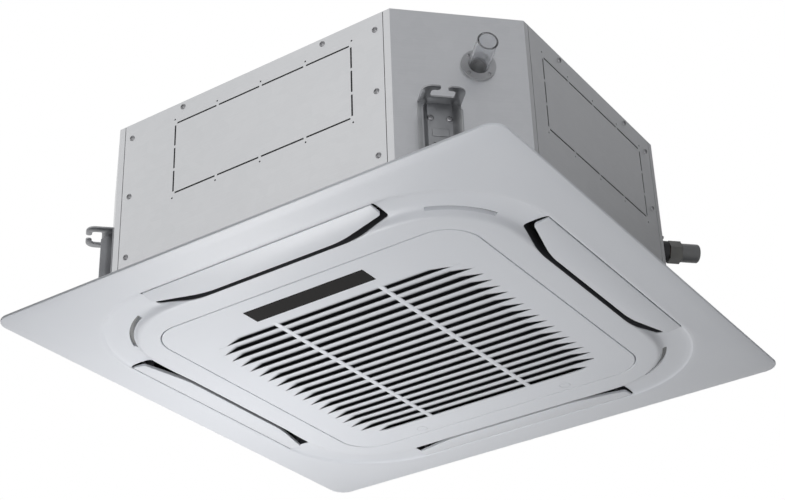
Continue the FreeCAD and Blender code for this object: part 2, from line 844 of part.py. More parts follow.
def make_coil():
    inner = "(coil_half - coil_wall)"
    inner_flat = "(coil_flat - coil_wall * half_bend_share)"
    outline = (
        ("coil_half", "coil_end"), ("coil_half", "-coil_flat"), ("coil_flat", "-coil_half"),
        ("-coil_flat", "-coil_half"), ("-coil_half", "-coil_flat"), ("-coil_half", "coil_flat"),
        ("-coil_flat", "coil_half"), ("coil_end", "coil_half"), ("coil_end", inner),
        (f"-{inner_flat}", inner), (f"-{inner}", inner_flat), (f"-{inner}", f"-{inner_flat}"),
        (f"-{inner_flat}", f"-{inner}"), (inner_flat, f"-{inner}"), (inner, f"-{inner_flat}"),
        (inner, "coil_end"),
    )
    finish("coil_fins", prism(outline, "pan_floor", "coil_top"))
    wide = (f"{inner} - coil_plate", "coil_half + coil_plate")
    thick = ("coil_end", "coil_end + coil_plate")
    tall = ("pan_floor", "coil_top + coil_plate")
    finish("coil_end_plates", group(block(wide, thick, tall), block(thick, wide, tall)))
    middle = "(coil_half - coil_wall / 2)"
    step = "((coil_top - pan_floor) / bend_count)"
    bends = [
        bend("bend_radius", "bend_tube",
             ("coil_end + coil_plate", middle, f"pan_floor + {step} * {index} + {step} / 2"), -CYCLE_ANGLE, 180)
        for index in range(int(value("bend_count")))
    ]
    finish("coil_return_bends", group(*bends))
    headers = []
    for name, rise in (("outlet", "outlet_pipe_z"), ("inlet", "inlet_pipe_z")):
        x = f"{name}_header_x"
        y = f"{name}_header_y"
        low = f"{name}_header_low"
        pieces = [rod("header_radius", (x, y, low), f"header_top - {low}")]
        count = int(value("feeder_count"))
        for index in range(count):
            feeder_rise = f"({low} + (header_top - {low}) * ({index} + 0.5) / feeder_count)"
            start = "(coil_end + coil_plate)"
            pieces.append(rod("feeder_tube", (x, start, feeder_rise), f"{y} - {start}", "y"))
        spigot = rod("header_spigot", (pipe_across(name), f"-{pipe_depth(name)}", rise),
                     "header_reach", "out")
        pieces.append(turned(spigot, CORNERS["pipe"]))
        headers.append(join(*pieces))
    finish("coil_headers", group(*headers))


def make_water_pipes():
    """Outlet and inlet stubs, with sleeve, union nut and cap on each, all along the pipe corner's normal."""
    sleeves = []
    nuts = []
    caps = []
    nut_end = "(nut_start + nut_length)"
    for name, rise in (("outlet", "outlet_pipe_z"), ("inlet", "inlet_pipe_z")):
        across = pipe_across(name)
        start = f"({pipe_depth(name)} + header_reach)"
        length = f"({pipe_plane} + {nut_end} - {start})"
        begin = (across, f"-{start}", rise)
        bore = rod("pipe_bore", (across, f"-{start} + cut_over", rise), f"{length} + 2 * cut_over", "out")
        stub = minus(rod("pipe_radius", begin, length, "out"), bore)
        finish(f"water_{name}_stub", stub, CORNERS["pipe"])
        face = (across, f"-{pipe_plane}", rise)
        hole = rod("pipe_radius + drain_play", (across, f"-{pipe_plane} + cut_over", rise),
                   f"{nut_end} + 2 * cut_over", "out")
        sleeves.append(minus(rod("sleeve_radius", face, "sleeve_reach", "out"), hole))
        nut_face = (across, f"-{pipe_plane} - nut_start", rise)
        nuts.append(minus(hexagon("nut_corner", nut_face, "nut_length", "out"), hole))
        caps.append(pipe_cap(across, rise, f"({pipe_plane} + {nut_end})"))
    finish("pipe_sleeves", group(*sleeves), CORNERS["pipe"])
    finish("union_nuts", group(*nuts), CORNERS["pipe"])
    finish("pipe_caps", group(*caps), CORNERS["pipe"])
    across = pipe_across("outlet")
    foot = "(outlet_pipe_z + sleeve_radius)"
    out = f"-({pipe_plane} + bleed_reach)"
    stem = rod("bleed_radius", (across, out, foot), "bleed_rise")
    knob = hexagon("bleed_knob", (across, out, f"{foot} + bleed_rise / 2"), "bleed_knob_wall")
    finish("bleed_valve", join(stem, knob), CORNERS["pipe"])


def pipe_cap(across, rise, start):
    """A round cap over a pipe's end with its outer edge rounded off."""
    barrel = rod("cap_radius", (across, f"-{start}", rise), "cap_length - cap_round", "out")
    crown_start = f"-({start} + cap_length - cap_round)"
    crown = rod("cap_radius - cap_round", (across, crown_start, rise), "cap_round", "out")
    rim = doc.addObject("Part::Torus", "rim")
    rim.setExpression("Radius1", linked("cap_radius - cap_round"))
    rim.setExpression("Radius2", linked("cap_round"))
    rim.Placement = FreeCAD.Placement(FreeCAD.Vector(), ALONG["out"])
    return join(barrel, crown, place(rim, across, crown_start, rise))


def make_fan():
    tall = "(motor_high - motor_low)"
    bore = rod("shaft_radius + shaft_play", ("0", "0", "motor_low - cut_over"),
               "motor_bore_top - motor_low + cut_over")
    finish("fan_motor", minus(rod("motor_radius", ("0", "0", "motor_low"), tall), bore))
    bushes = []
    for index in range(int(value("bush_count"))):
        bush = rod("bush_radius", ("bush_ring", "0", "motor_high"), f"{lid} - motor_high")
        bushes.append(turned(bush, 360 / value("bush_count") * (index + 0.5)))
    finish("motor_bushes", group(*bushes))
    finish("motor_shaft", rod("shaft_radius", ("0", "0", "shaft_low"), "shaft_high - shaft_low"))
    hole = rod("shaft_radius + shaft_play", ("0", "0", "shaft_low - cut_over"),
               "hub_high - shaft_low + 2 * cut_over")
    nut = hexagon("shaft_nut_corner", ("0", "0", "shaft_low"), "hub_low - shaft_low")
    finish("shaft_nut", minus(nut, hole))
    hub = join(
        rod("hub_radius", ("0", "0", "hub_low"), "hub_high - hub_low"),
        rod("impeller_radius", ("0", "0", "impeller_high - impeller_wall"), "impeller_wall"),
    )
    ring = minus(
        rod("impeller_radius", ("0", "0", "impeller_low"), "impeller_wall"),
        rod("impeller_eye", ("0", "0", "impeller_low - cut_over"), "impeller_wall + 2 * cut_over"),
    )
    blades = [turned(solid(blade_shape()), 360 / value("blade_count") * index)
              for index in range(int(value("blade_count")))]
    finish("fan_impeller", minus(join(hub, ring, *blades), hole))


def blade_shape():
    """One backward-curved blade from the shroud ring to the hub plate."""
    inner, outer, wall = value("blade_inner"), value("blade_outer"), value("blade_wall")
    sweep = math.radians(value("blade_sweep_angle"))
    stations = ((inner, 0), ((inner + outer) / 2, -sweep * value("blade_bow_share")), (outer, -sweep))

    def face_points(offset):
        return [FreeCAD.Vector(radius * math.cos(angle + offset / radius),
                               radius * math.sin(angle + offset / radius), 0)
                for radius, angle in stations]

    back = face_points(-wall / 2)
    front = face_points(wall / 2)
    outline = Part.Wire([
        Part.Arc(*back).toShape(), Part.LineSegment(back[2], front[2]).toShape(),
        Part.Arc(front[2], front[1], front[0]).toShape(), Part.LineSegment(front[0], back[0]).toShape(),
    ])
    low = value("impeller_low + impeller_wall / 2")
    high = value("impeller_high - impeller_wall / 2")
    blade = Part.Face(outline).extrude(FreeCAD.Vector(0, 0, high - low))
    blade.translate(FreeCAD.Vector(0, 0, low))
    return blade


def make_bellmouth():
    """A flat flange under the drain pan that turns up into the fan's round inlet."""
    flange, throat = value("bell_flange"), value("bell_throat")
    outer_round, wall = value("bell_round"), value("bell_wall")
    top = value(floor)
    low = top - wall
    centre = FreeCAD.Vector(throat + outer_round, 0, low + outer_round)
    inner_round = outer_round - wall
    slant = math.cos(math.pi / 4)

    def arc_points(radius):
        return (centre - FreeCAD.Vector(0, 0, radius),
                centre - FreeCAD.Vector(radius * slant, 0, radius * slant),
                centre - FreeCAD.Vector(radius, 0, 0))

    under = arc_points(outer_round)
    over = arc_points(inner_round)
    rim_under = FreeCAD.Vector(flange, 0, low)
    rim_over = FreeCAD.Vector(flange, 0, top)
    outline = Part.Wire([
        Part.LineSegment(rim_under, under[0]).toShape(), Part.Arc(*under).toShape(),
        Part.LineSegment(under[2], over[2]).toShape(), Part.Arc(over[2], over[1], over[0]).toShape(),
        Part.LineSegment(over[0], rim_over).toShape(), Part.LineSegment(rim_over, rim_under).toShape(),
    ])
    bell = solid(Part.Face(outline).revolve(FreeCAD.Vector(), UP, 360))
    clip = block(
        ("-bell_flange - cut_over", "bell_flange + cut_over"),
        ("-bell_flange - cut_over", "-control_near + 2 * control_play"),
        (f"{floor} - bell_wall - cut_over", f"{floor} + cut_over"))
    finish("bellmouth", minus(bell, clip))


def make_control_box():
    wide = ("-control_half", "control_half")
    deep = ("-control_far", "-control_near")
    tray = block(wide, deep, ("control_low", control_high))
    hollow = block(
        ("-control_half + control_wall", "control_half - control_wall"),
        ("-control_far + control_wall", "-control_near - control_wall"),
        ("control_low - cut_over", f"{control_high} - control_wall"))
    finish("control_box", minus(tray, hollow))
    finish("control_box_cover", block(wide, deep, ("control_low - control_cover", "control_low")))


def make_drain_side():
    """Pump, hose, pipe and float behind and on the drain corner, drawn at the front."""
    angle = CORNERS["drain"]
    inside = f"(-{corner_plane} + sheet_wall)"
    pump_out = f"(-{corner_plane} + pump_depth)"
    pump = join(
        rod("pump_radius", ("drain_shift", pump_out, "pump_low"), "pump_high - pump_low - pump_rim"),
        rod("pump_radius - pump_rim", ("drain_shift", pump_out, "pump_high - pump_rim"), "pump_rim"),
        rod("pump_spigot", ("drain_shift", pump_out, "pump_high"), "pump_spigot_rise"),
    )
    finish("drain_pump", pump, angle)
    plate_top = "(pump_high + bracket_wall)"
    wide = ("-bracket_start", "bracket_end")
    plate = block(wide, (inside, f"-{corner_plane} + bracket_depth"), ("pump_high", plate_top))
    tab = block(wide, (inside, f"{inside} + bracket_wall"), ("pump_high", f"{plate_top} + bracket_tab"))
    hole = rod("pump_spigot + float_play", ("drain_shift", pump_out, "pump_high - cut_over"),
               "bracket_wall + 2 * cut_over")
    finish("pump_bracket", minus(join(plate, tab), hole), angle)
    outer = hose_run("hose_radius", plate_top, pump_out, inside, "0")
    inner = hose_run("hose_bore", plate_top, pump_out, inside, "cut_over")
    finish("drain_hose", minus(outer, inner), angle)
    reach = "(drain_reach + sheet_wall)"
    shoulder = f"(-{corner_plane} - drain_flange_wall)"
    pipe = minus(
        join(rod("drain_root", ("drain_shift", inside, "drain_z"), "drain_flange_wall + sheet_wall", "out"),
             rod("drain_radius", ("drain_shift", shoulder, "drain_z"), "drain_reach - drain_flange_wall",
                 "out")),
        rod("drain_bore", ("drain_shift", f"{inside} + cut_over", "drain_z"), f"{reach} + 2 * cut_over", "out"),
    )
    finish("drain_pipe", pipe, angle)
    face = f"(-{corner_plane})"
    flange = minus(
        rod("drain_flange", ("drain_shift", face, "drain_z"), "drain_flange_wall", "out"),
        rod("drain_root + drain_play", ("drain_shift", f"{face} + cut_over", "drain_z"),
            "drain_flange_wall + 2 * cut_over", "out"),
    )
    finish("drain_socket_flange", flange, angle)
    stem_place = ("-float_shift", pump_out)
    stem = join(
        rod("float_stem", (*stem_place, "float_low"), "pump_high - float_low"),
        rod("float_stop", (*stem_place, "float_low - float_stop_wall"), "float_stop_wall"),
    )
    finish("float_stem", stem, angle)
    ring = minus(
        rod("float_radius", (*stem_place, "float_low"), "float_high - float_low"),
        rod("float_stem + float_play", (*stem_place, "float_low - cut_over"),
            "float_high - float_low + 2 * cut_over"),
    )
    finish("float", ring, angle)


def hose_run(radius, low, start, end, over):
    """The pump hose's outer or inner solid: up from the pump, round a quarter bend and out to the wall."""
    bend_low = "(drain_z - hose_bend)"
    bend_end = f"({start} - hose_bend)"
    rise = rod(radius, ("drain_shift", start, f"{low} - {over}"), f"{bend_low} - {low} + {over}")
    turn = bend("hose_bend", radius, ("drain_shift", bend_end, bend_low), CYCLE_ANGLE, 90)
    out = rod(radius, ("drain_shift", bend_end, "drain_z"), f"{bend_end} - {end} + {over}", "out")
    return join(rise, turn, out)


def flange_screws():
    heads = []
    face = f"(-{corner_plane} - drain_flange_wall)"
    count = int(value("flange_screw_count"))
    for index in range(count):
        angle = f"(360 * {index} / flange_screw_count + flange_screw_turn)"
        across = f"(drain_shift + flange_screw_ring * cos({angle}))"
        rise = f"(drain_z + flange_screw_ring * sin({angle}))"
        head = rod("flange_screw_head", (across, face, rise), "flange_screw_rise", "out")
        heads.append(turned(head, CORNERS["drain"]))
    return heads


def slit_shape():
    """A crescent slit's cutting tool against the plateau's corner at +X +Y."""
    inner = value("plateau_corner")
    outer = inner + value("slit_width")
    middle = value("plateau_half") - inner
    half_angle = math.radians(value("slit_half_angle"))
    quarter = math.pi / 4

    def point(radius, angle):
        return FreeCAD.Vector(middle + radius * math.cos(angle), middle + radius * math.sin(angle), 0)

    near = [point(inner, quarter + half_angle * side) for side in (-1, 0, 1)]
    far = [point(outer, quarter + half_angle * side) for side in (1, 0, -1)]
    outline = Part.Wire([
        Part.Arc(*near).toShape(), Part.LineSegment(near[2], far[0]).toShape(),
        Part.Arc(*far).toShape(), Part.LineSegment(far[2], near[0]).toShape(),
    ])
    low = value(f"{rim_low} - cut_over")
    tool = Part.Face(outline).extrude(FreeCAD.Vector(0, 0, value("rim_wall + 2 * cut_over")))
    tool.translate(FreeCAD.Vector(0, 0, low))
    return tool


def slit_pocket():
    """A closed pocket on the panel's top over a corner's slit, drawn at the front."""
    middle = "((plateau_half - plateau_corner) * sqrt(2))"
    inner = f"({middle} + plateau_corner * cos(slit_half_angle) - pocket_play)"
    outer = f"({middle} + plateau_corner + slit_width + pocket_play)"
    half = "((plateau_corner + slit_width) * sin(slit_half_angle) + pocket_play)"
    shell = block(
        (f"-{half} - pocket_wall", f"{half} + pocket_wall"),
        (f"-{outer} - pocket_wall", f"-{inner} + pocket_wall"), ("0", "pocket_rise"))
    hollow = block((f"-{half}", half), (f"-{outer}", f"-{inner}"), ("-cut_over", "pocket_rise - pocket_wall"))
    return minus(shell, hollow)


def outlet_collar(over="0"):
    """The block round one air outlet on the panel's top, at the front."""
    return block(
        (f"-outlet_half - collar_wall - {over}", f"outlet_half + collar_wall + {over}"),
        (f"-crease_half - collar_wall - {over}", f"-{outlet_inner} + collar_wall + {over}"),
        (f"-{over}", f"body_base + {over}"))


def make_panel_seal():
    """A foam ring that fills the gap between the panel and the casing."""
    low, high = "-cut_over", "body_base + cut_over"
    ring = minus(
        prism(octagon("seal_inset"), "0", "body_base"),
        prism(octagon("seal_inset + seal_wall"), low, high),
    )
    clear = [turned(outlet_collar("pocket_play"), angle) for angle in SIDES.values()]
    lug = block(("-lug_half - pocket_play", "lug_half + pocket_play"), ("-lug_outer", "-lug_inner"), (low, high))
    finish("panel_seal", minus(ring, *clear, turned(lug, CORNERS["pipe"])))


def make_panel_frame():
    rim = rounded_slab(("panel_half", "panel_corner", rim_low), ("panel_half", "panel_corner", "0"))
    crease = ("crease_half", "crease_corner")
    border = minus(
        rounded_slab(
            ("panel_half - border_inset", "panel_corner - border_inset", rim_low),
            ("crease_half + border_round", "crease_corner + border_round", f"{rim_low} - border_drop")),
        rounded_slab((*crease, f"{rim_low} - border_drop - cut_over"), (*crease, rim_low)),
    )
    plateau = rounded_slab(
        ("plateau_half", "plateau_corner", rim_low),
        ("plateau_half - plateau_slope", "plateau_corner - plateau_slope", grille_low))
    additions = []
    edge = "opening_bevel + cut_over"
    cuts = [rounded_slab(
        (f"opening_half + {edge}", f"opening_corner + {edge}", f"{grille_low} - cut_over"),
        ("opening_half", "opening_corner", f"{grille_low} + opening_bevel"),
        ("opening_half", "opening_corner", "cut_over"))]
    pivot = louver_pivot()
    for angle in SIDES.values():
        additions.append(turned(outlet_collar(), angle))
        outlet = prism(outlet_outline("crease_half"), f"{grille_low} - cut_over", "body_base + cut_over")
        cuts.append(turned(outlet, angle))
        bore = rod("louver_pin + pin_play", ("-outlet_half - collar_wall - cut_over", f"-{pivot}",
                                             "louver_pivot_rise"),
                   "2 * (outlet_half + collar_wall + cut_over)", "x")
        cuts.append(turned(bore, angle))
        cuts.append(turned(solid(slit_shape()), angle))
    keyed = []
    for angle in CORNERS.values():
        lug = block(("-lug_half", "lug_half"), ("-lug_outer", "-lug_inner"), ("0", "lug_wall"))
        boss = rod("lug_boss", ("0", "-lug_screw_ring", "0"), "body_base")
        hole = rod("panel_screw_shank + pin_play", ("0", "-lug_screw_ring", "-cut_over"),
                   "body_base + 2 * cut_over")
        keyed.append(turned(minus(join(lug, boss), hole), angle))
        keyed.append(turned(slit_pocket(), angle))
    frame = minus(join(rim, border, plateau, *additions), *cuts)
    roofs = [outlet_roof(SIDES[side]) for side in ("right", "back")]
    ears = [hinge_ear(side) for side in (-1, 1)]
    finish("panel_frame", join(frame, *roofs, *keyed, *ears))
    screws = []
    for angle in CORNERS.values():
        head = rod("panel_screw_head", ("0", "-lug_screw_ring", "-panel_screw_rise"), "panel_screw_rise")
        shank = rod("panel_screw_shank", ("0", "-lug_screw_ring", "0"), floor)
        screws.append(turned(join(head, shank), angle))
    finish("panel_screws", group(*screws))


def outlet_roof(angle):
    """Closes the end of an outlet's collar that lies outside the casing, at the pipe corner."""
    cover = block(
        ("-outlet_half", "outlet_half"), ("-crease_half", f"-{outlet_inner}"),
        ("body_base - collar_roof", "body_base"))
    inside = prism(octagon("sheet_wall + liner_wall"), "0", "body_base + cut_over")
    return minus(turned(cover, angle), inside)


def hinge_ear(side):
    """A knuckle of the frame that reaches into the grille's notch and holds a hinge pin."""
    middle = f"({side} * hinge_place)"
    ear = block(
        (f"{middle} - hinge_half", f"{middle} + hinge_half"),
        ("-opening_half - grille_gap", f"-{hinge_out} + hinge_ear"),
        (f"{hinge_z} - hinge_ear_low", f"{hinge_z} + hinge_ear_high"))
    bore = rod("hinge_pin + pin_play", (f"{middle} - hinge_half - cut_over", f"-{hinge_out}", hinge_z),
               "2 * (hinge_half + cut_over)", "x")
    return minus(ear, bore)


def make_hinge_pins():
    pins = [rod("hinge_pin", (f"{side} * hinge_place - hinge_pin_half", f"-{hinge_out}", hinge_z),
                "2 * hinge_pin_half", "x") for side in (-1, 1)]
    finish("grille_hinge_pins", group(*pins))


def make_louvers():
    outer = "(crease_half - louver_gap)"
    half = "(outlet_half - louver_end_gap)"
    mid_half = "(outlet_mid_half - louver_mid_step)"
    edge_low = f"({rim_low} - border_drop + louver_edge_rise)"
    top = f"({rim_low} - louver_head_gap)"
    pivot = louver_pivot()
    across, out, rise = motor_place()
    for side, angle in SIDES.items():
        plan = prism(
            ((f"-{half}", f"-{outer}"), (half, f"-{outer}"), (half, f"-({outer} - louver_end_depth)"),
             (mid_half, "-plateau_half"), (f"-{mid_half}", "-plateau_half"),
             (f"-{half}", f"-({outer} - louver_end_depth)")),
            f"{grille_low}", top)
        section = prism(
            ((f"-{outer}", edge_low), ("-plateau_half", f"{edge_low} - louver_slope"),
             ("-plateau_half", top), (f"-{outer}", top)),
            f"-{half} - cut_over", f"{half} + cut_over", "x")
        plate = common(plan, section)
        lug_end = f"({half} - louver_lug_inset)"
        lugs = [
            block((start, end), (f"-{pivot} - louver_lug_outer", f"-{pivot} + louver_lug_inner"),
                  (top, "louver_pivot_rise + louver_lug_head"))
            for start, end in ((f"{lug_end} - louver_lug", lug_end), (f"-{lug_end}", f"-{lug_end} + louver_lug"))
        ]
        drive = DRIVE_ENDS[side]
        drive_end = "(outlet_half + louver_pin_drive)"
        pin_spans = (span(drive, lug_end, drive_end), span(-drive, lug_end, "outlet_half + louver_pin_end"))
        pins = [rod("louver_pin", (start, f"-{pivot}", "louver_pivot_rise"), f"{end} - ({start})", "x")
                for start, end in pin_spans]
        finish(f"{side}_louver", join(plate, *lugs, *pins), angle)
        wide = span(drive, across, f"{across} + louver_motor_length")
        barrel = rod("louver_motor_radius", (wide[0], f"-{out}", rise), "louver_motor_length", "x")
        nose = block(wide, (f"-{out} - louver_nose_half", f"-{out} + louver_nose_half"),
                     ("louver_motor_seat", rise))
        bore_start, bore_end = span(drive, f"{across} - cut_over", f"{drive_end} + cut_over")
        bore = rod("louver_pin + pin_play", (bore_start, f"-{out}", "louver_pivot_rise"),
                   f"{bore_end} - ({bore_start})", "x")
        finish(f"{side}_louver_motor", minus(join(barrel, nose), bore), angle)


def slot_field():
    """The grille's slots as one cutting tool: leaning prisms in rows, split by two ribs."""
    half, corner = value("slot_field_half"), value("slot_field_corner")
    count, pitch = int(value("slot_count")), value("slot_pitch")
    low, high = value(f"{grille_low} - cut_over"), value(f"{grille_high} + cut_over")
    width, lean = value("slot_width"), value("slot_lean")
    rib_near = value("rib_place - rib_width / 2")
    rib_far = value("rib_place + rib_width / 2")
    prisms = []
    for index in range(count):
        middle = value("slot_first") + pitch * index
        from_end = min(index, count - 1 - index) * pitch + value("slot_field_edge")
        into_corner = max(corner - from_end, 0)
        reach = half - corner + math.sqrt(corner ** 2 - into_corner ** 2)
        start = middle - width / 2
        section = [(start, low), (start + width, low), (start + width + lean, high), (start + lean, high)]
        for left, right in ((-reach, -rib_far), (-rib_near, rib_near), (rib_far, reach)):
            points = [FreeCAD.Vector(left, y, z) for y, z in section + section[:1]]
            face = Part.Face(Part.makePolygon(points))
            prisms.append(face.extrude(FreeCAD.Vector(right - left, 0, 0)))
    return Part.makeCompound(prisms)


def make_grille():
    half = "opening_half - grille_gap"
    corner = "opening_corner - grille_gap"
    plate = rounded_slab(
        (f"{half} - grille_bevel", f"{corner} - grille_bevel", grille_low),
        (half, corner, f"{grille_low} + grille_bevel"), (half, corner, grille_high))
    over = f"{grille_high} + cut_over"
    under = f"{grille_low} - cut_over"
    cuts = [solid(slot_field())]
    for side in (-1, 1):
        middle = f"({side} * hinge_place)"
        cuts.append(block(
            (f"{middle} - hinge_half - hinge_play", f"{middle} + hinge_half + hinge_play"),
            ("-opening_half - cut_over", f"-{hinge_out} + hinge_notch"), (under, over)))
        cuts.append(rod("hinge_pin + pin_play",
                        (f"{middle} - hinge_pin_half - hinge_play", f"-{hinge_out}", hinge_z),
                        "2 * (hinge_pin_half + hinge_play)", "x"))
        cuts.append(rod("latch_radius + latch_play", (f"{side} * latch_place_x", "latch_place_y", under),
                        f"({over}) - ({under})"))
    window_x = ("display_shift - display_length / 2", "display_shift + display_length / 2")
    window_y = ("display_place - display_width / 2", "display_place + display_width / 2")
    window_low = f"({grille_low} - display_rise)"
    window_high = f"({window_low} + display_wall)"
    cuts.append(block(
        (f"{window_x[0]} - display_play", f"{window_x[1]} + display_play"),
        (f"{window_y[0]} - display_play", f"{window_y[1]} + display_play"), (under, window_high)))
    cuts.append(block(
        (f"{window_x[0]} + display_ledge", f"{window_x[1]} - display_ledge"),
        (f"{window_y[0]} + display_ledge", f"{window_y[1]} - display_ledge"), (under, over)))
    finish("suction_grille", minus(plate, *cuts))
    finish("display_window", block(window_x, window_y, (window_low, window_high)))
    board_inset = "(display_ledge + display_play)"
    finish("display_board", block(
        (f"{window_x[0]} + {board_inset}", f"{window_x[1]} - {board_inset}"),
        (f"{window_y[0]} + {board_inset}", f"{window_y[1]} - {board_inset}"),
        (window_high, f"{window_high} + board_wall")))
    for side, sign in (("left", -1), ("right", 1)):
        place_xy = (f"{sign} * latch_place_x", "latch_place_y")
        button = join(
            rod("latch_radius", (*place_xy, grille_low), "grille_wall"),
            rod("latch_flange", (*place_xy, grille_high), "latch_flange_wall"),
        )
        finish(f"{side}_grille_latch", button)
    make_filter()


def make_filter():
    """A rim and cross ribs over a thin net, lying on the grille."""
    outer = ("-filter_half", "filter_half")
    top = f"({grille_high} + filter_wall)"
    slab = block(outer, outer, (grille_high, top))
    bays = []
    for x in (-1, 1):
        for y in (-1, 1):
            spans = [
                ("filter_rim / 2", "filter_half - filter_rim") if sign > 0
                else ("-filter_half + filter_rim", "-filter_rim / 2")
                for sign in (x, y)
            ]
            bays.append(block(*spans, (f"{grille_high} + filter_net", f"{top} + cut_over")))
    finish("air_filter", minus(slab, *bays))


make_top_plate()
make_base_frame()
make_corner_panels()
fasteners = make_side_panels() + make_hangers() + flange_screws()
finish("casing_screws", group(*fasteners))
make_liner()
make_drain_pan()
make_coil()
make_water_pipes()
make_fan()
make_bellmouth()
make_control_box()
make_drain_side()
make_panel_frame()
make_panel_seal()
make_hinge_pins()
make_louvers()
make_grille()

doc.recompute()
for thing in doc.Objects:
    if "Invalid" in thing.State or "Error" in thing.State:
        raise RuntimeError(f"{thing.Label} failed: {thing.State}")
for node in nodes:
    if node.Shape.isNull() or not node.Shape.isValid() or not node.Shape.Solids:
        raise RuntimeError(f"{node.Label} has no valid solid")

os.makedirs("parts", exist_ok=True)
for node in nodes:
    node.Shape.exportStep(os.path.join("parts", f"{node.Label}.step"))
    box = node.Shape.BoundBox
    print(f"{node.Label}: {len(node.Shape.Solids)} solids, {node.Shape.Volume:.0f} mm3, "
          f"z {box.ZMin:.1f} to {box.ZMax:.1f}")
print(f"{len(nodes)} nodes")
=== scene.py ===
"""Looks of the ceiling cassette fan coil unit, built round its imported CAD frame.

Metres, +Z up, origin in the middle of the ceiling plane on the panel's rim. The display side is -Y.
Sides and corners are drawn at the front and turned into place about Z.
"""

import json
import math

import bmesh
import bpy
from mathutils import Matrix, Vector


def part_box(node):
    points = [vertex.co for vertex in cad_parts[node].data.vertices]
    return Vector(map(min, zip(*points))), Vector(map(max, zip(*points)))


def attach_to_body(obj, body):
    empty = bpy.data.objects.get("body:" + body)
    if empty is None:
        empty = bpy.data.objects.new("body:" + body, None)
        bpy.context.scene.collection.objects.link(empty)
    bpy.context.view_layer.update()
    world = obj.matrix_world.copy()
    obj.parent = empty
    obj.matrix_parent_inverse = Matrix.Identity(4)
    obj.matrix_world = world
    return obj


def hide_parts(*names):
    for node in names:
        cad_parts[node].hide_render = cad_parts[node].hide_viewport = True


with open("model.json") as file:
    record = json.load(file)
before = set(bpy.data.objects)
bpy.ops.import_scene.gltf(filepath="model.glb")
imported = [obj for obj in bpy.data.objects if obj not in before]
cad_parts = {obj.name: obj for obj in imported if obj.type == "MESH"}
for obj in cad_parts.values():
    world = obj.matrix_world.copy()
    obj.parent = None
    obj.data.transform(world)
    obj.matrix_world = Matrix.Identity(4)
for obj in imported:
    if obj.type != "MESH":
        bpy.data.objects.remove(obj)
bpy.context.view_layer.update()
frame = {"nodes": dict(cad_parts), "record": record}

MM = 0.001
SIDES = {"front": 0, "right": 90, "back": 180, "left": 270}
CORNERS = {"drain": 45, "pipe": 135, "back_left": 225, "front_left": 315}

# Air panel, in millimetres
PANEL_HALF, PANEL_CORNER = 475, 29
CREASE_HALF, CREASE_CORNER = 408, 193
PLATEAU_HALF, PLATEAU_CORNER = 355, 143
OPENING_HALF, OPENING_CORNER = 302.4, 60.4
PANEL_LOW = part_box("panel_frame")[0].z / MM
COLLAR_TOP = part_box("panel_frame")[1].z / MM
CORNER_STEPS, ROUND_STEPS = 24, 6
# Angle in degrees above which an edge of the panel or grille shows as an edge
SHELL_EDGE = 24
OUTLET_HALF, OUTLET_MID_HALF = 222, 150
OUTLET_INNER, OUTLET_END_INNER = 348.5, 363
COLLAR_WALL, COLLAR_ROOF = 4, 1.2
SLIT_START, SLIT_WIDTH, SLIT_HALF_ANGLE, SLIT_STEPS = 4, 7, 21, 20
SLIT_FOOT, SLIT_TOP, SLIT_STRIP, SLIT_LEAN = -6, -1.5, -2.5, 0.15
LUG_HALF, LUG_INNER, LUG_OUTER, LUG_WALL = 22, 355, 425, 4
# Casing planes, in millimetres from the vertical axis
BODY_PLANE, CORNER_PLANE, PIPE_PLANE, LINED_PIPE_PLANE = 420, 489.3, 408.7, 395.7


class Value:
    """A shader socket on which Python's operators add Math nodes."""

    def __init__(self, nodes, socket):
        self.nodes = nodes
        self.socket = socket

    def math(self, operation, *operands):
        return self.nodes.node("ShaderNodeMath", {"operation": operation}, operands)

    def __add__(self, other):
        return self.math("ADD", self, other)

    def __sub__(self, other):
        return self.math("SUBTRACT", self, other)

    def __rsub__(self, other):
        return self.math("SUBTRACT", other, self)

    def __mul__(self, other):
        return self.math("MULTIPLY", self, other)

    def largest(self, other):
        return self.math("MAXIMUM", self, other)

    def sine(self):
        return self.math("SINE", self)

    def beside(self, output):
        """Another output of the same node."""
        return Value(self.nodes, self.socket.node.outputs[output])

    __radd__ = __add__


class Nodes:
    """A node tree, to which nodes are added by one method."""

    def __init__(self, tree):
        self.tree = tree

    def node(self, kind, settings=None, inputs=(), output=0):
        made = self.tree.nodes.new(kind)
        for key, setting in (settings or {}).items():
            setattr(made, key, setting)
        pairs = inputs.items() if isinstance(inputs, dict) else enumerate(inputs)
        for key, value in pairs:
            self.feed(made.inputs[key], value)
        return Value(self, made.outputs[output])

    def feed(self, socket, value):
        if isinstance(value, Value):
            self.tree.links.new(value.socket, socket)
        else:
            socket.default_value = value

    def given(self, name):
        """The first output of a node that the tree came with."""
        return Value(self, self.tree.nodes[name].outputs[0])

    def white_where_seen(self, plain, white, end):
        """Sends one shader to an end node, and another to rays of the camera, gloss and glass."""
        seen = self.node("ShaderNodeLightPath", output="Is Camera Ray")
        seen = seen.largest(seen.beside("Is Glossy Ray")).largest(seen.beside("Is Transmission Ray"))
        mix = self.node("ShaderNodeMixShader", inputs=(seen, plain, white))
        self.feed(self.tree.nodes[end].inputs[0], mix)


